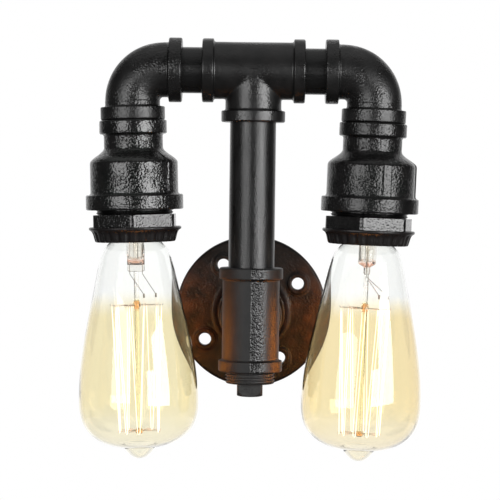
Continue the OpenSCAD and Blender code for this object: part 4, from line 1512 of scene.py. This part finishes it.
    def hexagon(self, turn: Array, radius: Array, depth: Array) -> Array:
        """Turns a round collar into a hexagon with eased corners.

        Args:
            turn: Angle of each point round the axis.
            radius: Its radius.
            depth: Its depth. Not used.

        Returns:
            The changed radius.
        """
        corner, flat, sharp = self.hex_d / 2 - 0.5, self.hex_d / 2 * cos(pi / 6), self.hex_sharp
        sides = flat / np.cos((turn - radians(self.hex_turn)) % (pi / 3) - pi / 6)
        eased = -np.log(np.exp(-sharp * (sides - flat)) + np.exp(-sharp * (corner - flat))) / sharp + flat
        return np.where(radius > 18.0, np.minimum(eased, radius), radius)

    def bushing(self) -> Shell:
        """Makes the bushing's skin: its threaded shank and its hexagon.

        Returns:
            The skin, in the arm's frame.
        """
        top, foot, seat = SIZES.hex_top, SIZES.hex_foot, SIZES.reducer_foot
        start = seat - SIZES.bush_engage
        shank, hole, edge = self.bush_thread_d / 2, SIZES.skirt_d / 2 + 0.2, self.hex_d / 2
        neck = [(hole, start), (shank - 0.8, start), (shank, start + 0.8), (shank, seat + 0.2),
                (shank - 0.9, seat + 0.9), (shank - 0.1, seat + 1.6), (shank - 0.9, seat + 2.3),
                (shank - 0.4, top + 1), (hole, top + 1)]
        upper = bezier((edge - 1, top), (edge - 0.4, top + 0.2), (edge, top + 0.5), (edge + 0.4, top + 1),
                       steps=6)
        lower = [(r, top + foot - s) for r, s in upper[::-1]]
        collar = [(hole, top), (edge - 2, top), *upper, *lower, (edge - 2, foot), (hole, foot)]
        return Shell.joined([lathe(neck, 144), lathe(collar, 360, self.hexagon)])

    def fluted(self, turn: Array, radius: Array, depth: Array) -> Array:
        """Cuts the flutes into a shade ring's skirt, ending under its lip.

        Args:
            turn: Angle of each point round the axis.
            radius: Its radius.
            depth: Its depth.

        Returns:
            The changed radius.
        """
        fade = np.clip((depth - SIZES.hex_foot - 1.5) / 1.4, 0, 1)
        cut = self.flute_depth * (0.5 + 0.5 * np.cos(self.flutes * turn)) ** 2.2 * fade
        return np.where(radius > SIZES.skirt_d / 2 + 2.0, radius - cut, radius)

    def ring(self) -> Shell:
        """Makes the shade ring's skin: a thin lip and a fluted skirt that flares up to it.

        Returns:
            The skin, in the arm's frame.
        """
        top, foot = SIZES.hex_foot, SIZES.ring_foot
        lip, skirt, inner = self.ring_d / 2, self.ring_foot_d / 2, SIZES.skirt_d / 2 + SIZES.fit
        start, tall = top + 5.6, foot - 0.7 - top - 5.6
        outline = [(inner, top + 0.5), (inner + 0.5, top), (lip - 0.5, top), (lip, top + 0.4),
                   (lip, top + 1.1),
                   *bezier((lip - 0.2, top + 1.5), (lip - 1.6, top + 2), (skirt + 1, top + 3.4),
                           (skirt + 0.5, start), steps=14),
                   *((skirt + 0.5 - 0.1 * i, start + tall * i / 5) for i in range(1, 6)),
                   (skirt - 0.5, foot - 0.1), (skirt - 1.2, foot), (inner + 0.6, foot), (inner, foot - 0.6)]
        return lathe(outline, 16 * self.flutes, self.fluted)

    def build(self) -> None:
        """Makes every piece of the arm that shows."""
        place = SIZES.arm_place(self.side)
        self.piece("cast_elbow", self.elbow(), CASTING, "iron_fitting", "elbow", SIZES.corner(self.side))
        self.piece("cast_reducer", self.reducer(), self.coat, "iron_fitting", "reducer", place)
        self.piece("cast_bushing", self.bushing(), BUSHING, "iron_fitting", "hex_bushing", place, crease=30)
        self.piece("fluted_ring", self.ring(), RING, "blackened_ring", "shade_ring", place)


@dataclass
class Bulb(Hanging):
    """One bulb: glass, stem, lead wires, hooks and filament."""

    body: str = "bulb"
    glass_d: float = 64.34
    glass_t: float = 0.9
    neck_d: float = 26.8
    seat_r: float = 12.6
    pip_h: float = 6.0
    pip_r: float = 9.1
    crown: float = 26.0
    power: float = 2.6
    cap_recess: float = 0.6
    stem_r: float = 4.8
    stem_foot: float = 16.2
    rim_r: float = 11.6
    rod_r: float = 1.35
    beads: tuple[Pair, Pair] = ((2.15, 4.6), (2.2, 3.0))
    pinch_h: float = 6.4
    pinch_t: float = 3.6
    hook_top: float = 34.0
    hook_foot: float = 102.6
    cage_top_r: float = 13.4
    cage_foot_r: float = 11.0
    hooks: int = 9
    gap: float = 33.0
    turn: float = -36.5
    strand_r: float = 0.18
    wire_r: float = 0.17
    hook_r: float = 0.11

    @property
    def step(self) -> float:
        """Angle between two hooks, in degrees."""
        return (360 - self.gap) / self.hooks

    def curve(self, inset: float) -> Outline:
        """Outside of the glass below the ring, shrunk by an inset.

        Args:
            inset: How far inside the outer face it runs.

        Returns:
            The outline, top to foot.
        """
        r, z, neck = self.glass_d / 2 - inset, SIZES.ring_foot, self.neck_d / 2 - inset
        waist = z + SIZES.bulb_h - self.crown
        line = bezier((neck, z), (neck + 3, z + 2), (neck + 5.3, z + 5), (neck + 6.1, z + 10), steps=14)
        line += bezier((neck + 7.3, z + 15), (neck + 12, z + 38), (r - 0.2, z + 62), (r, waist), steps=36)
        for i in range(1, 25):
            u = sin(radians(i * 87.3 / 24))
            line.append((r * (1 - u**self.power) ** (1 / self.power), waist + (self.crown - inset) * u))
        return line

    def glass(self) -> Shell:
        """Makes the glass envelope as one closed skin with a real wall.

        Returns:
            The skin.
        """
        foot, rim = SIZES.ring_foot + SIZES.bulb_h, SIZES.ring_foot - self.cap_recess
        top, seat, tip, inner = rim - 3.6, self.seat_r - self.glass_t, foot + self.pip_h, self.pip_r - 0.8
        outside = [(self.seat_r, top), (self.seat_r, rim + 0.1),
                   *(p for p in self.curve(0) if p[0] > self.pip_r),
                   *bezier((self.pip_r - 0.1, foot - 0.33), (self.pip_r - 1.8, foot + 1.2), (4.8, tip),
                           (0, tip), steps=16)]
        inside = [*bezier((0, tip - 1.2), (3.8, tip - 1.2), (inner - 2.2, foot + 0.2),
                          (inner - 0.1, foot - self.glass_t - 0.28), steps=16),
                  *(p for p in self.curve(self.glass_t)[::-1] if p[0] > inner),
                  (seat, rim + 0.1), (seat, top)]
        return lathe(outside + inside, 176)

    def stem(self) -> Shell:
        """Makes the flared tube, its flattened pinch, the exhaust tube in it, the rod and two beads.

        Returns:
            Their skins in one.
        """
        z, r, rim, sides = SIZES.ring_foot, self.stem_r, self.rim_r, 56
        foot, start, flat = z + self.stem_foot, z - self.cap_recess - 3.4, self.pinch_t / 2
        pinch, hollow = foot - self.pinch_h, r - 0.9
        flare = bezier((rim, start), (rim - 1, start + 2.6), (r, start + 1.4), (r, start + 4.6), steps=14)
        sections = [(a, a, 2.0, s) for a, s in (*flare, (r, pinch + 0.3))]
        for t in (0.25, 0.5, 0.75, 1.0):
            squeezed = r + (flat - r) * (3 * t * t - 2 * t**3)
            sections.append((r - 0.1 * t, squeezed, 2 + 1.6 * t, pinch + 0.3 + 2.4 * t))
        sections += [(r - 0.1, flat, 3.6, foot - 0.9), (r - 0.4, flat - 0.25, 3.2, foot - 0.3),
                     (r - 1.2, flat - 0.8, 3.0, foot)]
        outer = loft(sections, sides)
        inner = lathe([(0, pinch - 0.2), (r - 1.6, pinch - 0.6), (hollow, pinch - 1.8),
                       *bezier((hollow, start + 4.6), (hollow, start + 1), (rim - 2, start + 1.6),
                               (rim - 0.9, start), steps=14)], sides, ring=False)
        count, rows = len(outer.points), len(inner.points) // sides
        edge = [count + j * rows + rows - 1 for j in range(sides)]
        faces = [f for f in outer.faces if len(f) == 4] + [outer.faces[-1]]
        faces += [tuple(i + count for i in f) for f in inner.faces]
        faces += [(j, (j + 1) % sides, edge[(j + 1) % sides], edge[j]) for j in range(sides)]
        tube = Shell(np.concatenate([outer.points, inner.points]), faces)
        exhaust = lathe([(1.0, start + 2), (1.6, start + 2), (1.6, pinch - 0.45), (1.0, pinch - 0.45)], 32)
        end = z + self.hook_foot + 0.8
        rod = lathe([(0, foot - 0.4), (self.rod_r, foot - 0.4), (self.rod_r, end), (0, end)], 32, ring=False)
        depths = (z + self.hook_top, z + self.hook_foot)
        beads = [self.bead(*size, depth) for size, depth in zip(self.beads, depths)]
        return Shell.joined([tube, exhaust, rod, *beads])

    def bead(self, radius: float, height: float, depth: float) -> Shell:
        """Makes a melted glass bead round the rod that holds the hooks.

        Args:
            radius: Its radius.
            height: Its height.
            depth: Depth of its middle.

        Returns:
            Its skin.
        """
        start, inner, out = depth - height / 2, self.rod_r + 0.01, radius - self.rod_r
        side = [(inner + 0.01 + out * sin(pi * i / 10) ** 0.7, start + height * i / 10) for i in range(11)]
        return lathe([*side, (inner, depth + height / 2), (inner, start)], 32)

    def on_cage(self, turn: float, radius: float, depth: float) -> Array:
        """A point at an angle in degrees, a radius, and a depth below the ring."""
        return np.array((radius * cos(radians(turn)), radius * sin(radians(turn)), -SIZES.ring_foot - depth))

    def leads(self) -> Shell:
        """Makes the two lead wires from the pinch to the crimps that hold the filament's ends.

        Returns:
            Their skins in one.
        """
        bars, z = [], -SIZES.ring_foot
        foot = z - self.stem_foot
        for i, turn in enumerate((self.turn + self.step * self.hooks, self.turn)):
            x = (2 * i - 1) * (self.stem_r - 1.4)
            crimp, heel = self.on_cage(turn, self.cage_top_r, self.hook_top - 6), np.array((x, 0, foot - 1.2))
            slant = [heel + (crimp - heel) * t for t in (0, 0.08, 0.5, 1)]
            bars += [sweep([(x, 0, z - 2), (x, 0, foot + 1), *slant], self.wire_r),
                     sweep([crimp + (0, 0, 0.5), crimp - (0, 0, 1.7)], 0.5)]
        return Shell.joined(bars)

    def supports(self) -> Shell:
        """Makes the hooks: fine wires out of each bead, curled round the filament.

        Returns:
            Their skins in one.
        """
        drop = self.strand_r + self.hook_r + 0.03
        high, low, count = self.hook_top + drop, self.hook_foot - drop, self.hooks
        bars = [self.hook(i, 1.7, self.cage_top_r, high, -1) for i in range(1, count)]
        return Shell.joined(bars + [self.hook(i + 0.5, 1.8, self.cage_foot_r, low, 1) for i in range(count)])

    def hook(self, number: float, start: float, reach: float, depth: float, curl: int) -> Shell:
        """Makes one hook.

        Args:
            number: Its place round the cage, in steps.
            start: Radius where it leaves the bead.
            reach: Radius of the filament that it holds.
            depth: Its depth below the ring.
            curl: 1 to curl its end down, -1 to curl it up.

        Returns:
            Its skin.
        """
        ends = [(start, 0), (reach / 2, 0), (reach + 0.3, 0), (reach + 0.75, 0.25), (reach + 0.8, 0.7)]
        return sweep([self.on_cage(self.turn + self.step * number, r, depth + curl * up) for r, up in ends],
                     self.hook_r, 8)

    def filament(self) -> Shell:
        """Makes the strand that runs down and up between the hooks, with a small turn over each.

        Returns:
            Its skin.
        """
        ends = [(turn, self.cage_top_r, self.hook_top - 5.5) for turn in (
            self.turn, self.turn + self.step * self.hooks)]
        line = ends[:1]
        for i in range(1, 2 * self.hooks):
            low, at = i % 2, self.turn + self.step * i / 2
            depth, curl = (self.hook_foot, -1) if low else (self.hook_top, 1)
            line += [(at + (0.9 + 0.2 * low) * j, self.cage_foot_r if low else self.cage_top_r,
                      depth + curl * (0.09 * j * j - 0.4)) for j in range(-3, 4)]
        points = [self.on_cage(*p) for p in line + ends[1:]]
        fine = [points[0]]
        for a, b in zip(points, points[1:]):
            pieces = max(1, int(np.linalg.norm(b - a) / 6))
            fine += [a + (b - a) * k / pieces for k in range(1, pieces + 1)]
        return sweep(fine, self.strand_r, 8)

    def build(self) -> None:
        """Makes every piece of the bulb that shows."""
        outside, inside = SIZES.arm_place(self.side), SIZES.bulb_place(self.side)
        stain = WARM_GLASS if self.side is Side.RIGHT else AMBER_GLASS
        self.piece("blown_glass", self.glass(), stain, "amber_glass", "bulb_glass", outside, crease=60)
        self.piece("glass_stem", self.stem(), STEM, "clear_glass", "bulb_stem", inside, crease=45)
        self.piece("leads", self.leads(), WIRE, "steel_wire", "lead_wires", inside)
        self.piece("cage_hooks", self.supports(), WIRE, "steel_wire", "filament_hooks", inside)
        self.piece("glowing_filament", self.filament(), GLOW, "filament_glow", "filament", inside, crease=180)


# Studio


@dataclass(frozen=True)
class Softbox:
    """A large soft lamp in front of the object, aimed at its middle.

    It fills a range of azimuth, from the camera's side toward the right, and of elevation, in degrees.
    """

    name: str
    azimuth: Pair
    elevation: Pair
    radiance: float
    distance: float = 1.6

    def build(self, target: Vector) -> None:
        """Puts the lamp up.

        Args:
            target: The point that it faces.
        """
        (a0, a1), (e0, e1) = (tuple(map(radians, pair)) for pair in (self.azimuth, self.elevation))
        lamp = bpy.data.lights.new(self.name, "AREA")
        lamp.shape = "RECTANGLE"
        lamp.size = 2 * self.distance * tan((a1 - a0) / 2)
        lamp.size_y = 2 * self.distance * tan((e1 - e0) / 2)
        lamp.energy = self.radiance * pi * lamp.size * lamp.size_y
        held = put(self.name, lamp)
        a, e = (a0 + a1) / 2, (e0 + e1) / 2
        away = Vector((sin(a) * cos(e), -cos(a) * cos(e), sin(e)))
        held.location = target + away * self.distance
        held.rotation_mode = "QUATERNION"
        held.rotation_quaternion = away.to_track_quat("Z", "Y")
        held.visible_camera = False


@dataclass
class Studio:
    """Camera, lamps, floor and surroundings."""

    camera_at: Point = (5.21, -1173.62, 74.21)
    yaw: float = -0.315
    pitch: float = -1.916
    roll: float = 0.731
    lens: float = 146.97
    floor_z: float = -300.0
    floor_r: float = 800.0
    floor_sides: int = 96
    target: Point = (0.0, -90.0, 0.0)
    through_glass: float = 1.08
    in_mirror: float = 0.8
    on_matt: float = 0.25
    lamps: tuple[Softbox, ...] = (
        Softbox("right_low_softbox", (19.0, 33.0), (-6.5, 9.0), 6.8),
        Softbox("right_tall_softbox", (33.0, 64.0), (-6.5, 19.0), 6.8),
        Softbox("left_softbox", (-52.0, -14.0), (-6.5, 19.0), 3.5),
    )

    def camera(self) -> None:
        """Places the camera where the photograph was taken from."""
        y, p, r = map(radians, (self.yaw, self.pitch, self.roll))
        forward = Vector((sin(y) * cos(p), cos(y) * cos(p), sin(p)))
        level = Vector((cos(y), -sin(y), 0))
        upright = level.cross(forward)
        right = level * cos(r) + upright * sin(r)
        up = upright * cos(r) - level * sin(r)
        data = bpy.data.cameras.new("camera")
        data.lens, data.sensor_width = self.lens, 36.0
        data.clip_start, data.clip_end = 0.05, 20.0
        camera = put("camera", data)
        camera.matrix_world = moved(*self.camera_at) @ Matrix((right, up, -forward)).transposed().to_4x4()
        bpy.context.scene.camera = camera

    def floor(self) -> None:
        """Lays a plain round floor below the lamp."""
        sides, r = self.floor_sides, self.floor_r * MM
        turns = [2 * pi * i / sides for i in range(sides)]
        points = [(r * cos(a), r * sin(a), self.floor_z * MM) for a in turns]
        mesh = bpy.data.meshes.new("floor")
        mesh.from_pydata(points, [], [tuple(range(sides))])
        mesh.materials.append(PAPER.material())
        floor = put("floor", mesh)

    def surroundings(self) -> None:
        """White all round for the eye and through glass, dimmer in front for gloss, plain for matt."""
        world = bpy.data.worlds.new("studio")
        bpy.context.scene.world = world
        world.use_nodes = True
        nodes = Nodes(world.node_tree)
        way = nodes.one("TexCoord", output="Generated")
        behind = nodes.ramp(nodes.part(way, "Y"), (0.55, 0.92), (0.06, 1.0))
        above = nodes.ramp(nodes.part(way, "Z"), (0.55, 0.95), (0.0, 0.4))
        seen = nodes.math("MULTIPLY_ADD", nodes.ray("Transmission"), self.through_glass, nodes.ray("Camera"))
        clean = nodes.math("MULTIPLY", nodes.ray("Singular"), self.in_mirror)
        mirrored = nodes.math("MAXIMUM", nodes.math("MAXIMUM", behind, above), clean)
        plain = nodes.one("Mix", {0: nodes.ray("Glossy"), 2: self.on_matt, 3: mirrored}, data_type="FLOAT")
        level = nodes.math("MAXIMUM", seen, plain)
        light = nodes.one("Background", {"Color": linear("#ffffff"), "Strength": level})
        add(nodes.tree, "ShaderNodeOutputWorld", {"Surface": light})

    def build(self) -> None:
        """Sets the whole studio up."""
        self.camera()
        for lamp in self.lamps:
            lamp.build(Vector(self.target) * MM)
        self.floor()
        self.surroundings()
        scene = bpy.context.scene
        scene.view_settings.view_transform = "Standard"
        scene.cycles.max_bounces = 24
        scene.cycles.transmission_bounces = 20
        scene.cycles.transparent_max_bounces = 24
        scene.cycles.glossy_bounces = 8


def dress_carried_nodes() -> None:
    """Gives every carried-over node the finish of its slot."""
    slots = {m["slot"] for m in frame["record"]["materials"]}
    for name, node in frame["nodes"].items():
        for held in node.material_slots:
            slot = held.material.name.split(".")[0] if held.material else ""
            if slot in slots and slot in CARRIED:
                held.material = CARRIED[slot].material()
                log.info("%s: carried over as %s", name, slot)
            else:
                log.warning("%s: no finish for %s", name, slot)


def main() -> None:
    """Builds the lamp and its studio in order."""
    logging.basicConfig(level=logging.INFO, format="%(message)s")
    Studio().build()
    dress_carried_nodes()
    WallMount().build()
    PipeFrame().build()
    for side in Side:
        LampArm(side).build()
        Bulb(side).build()


if __name__ == "__main__":
    main()
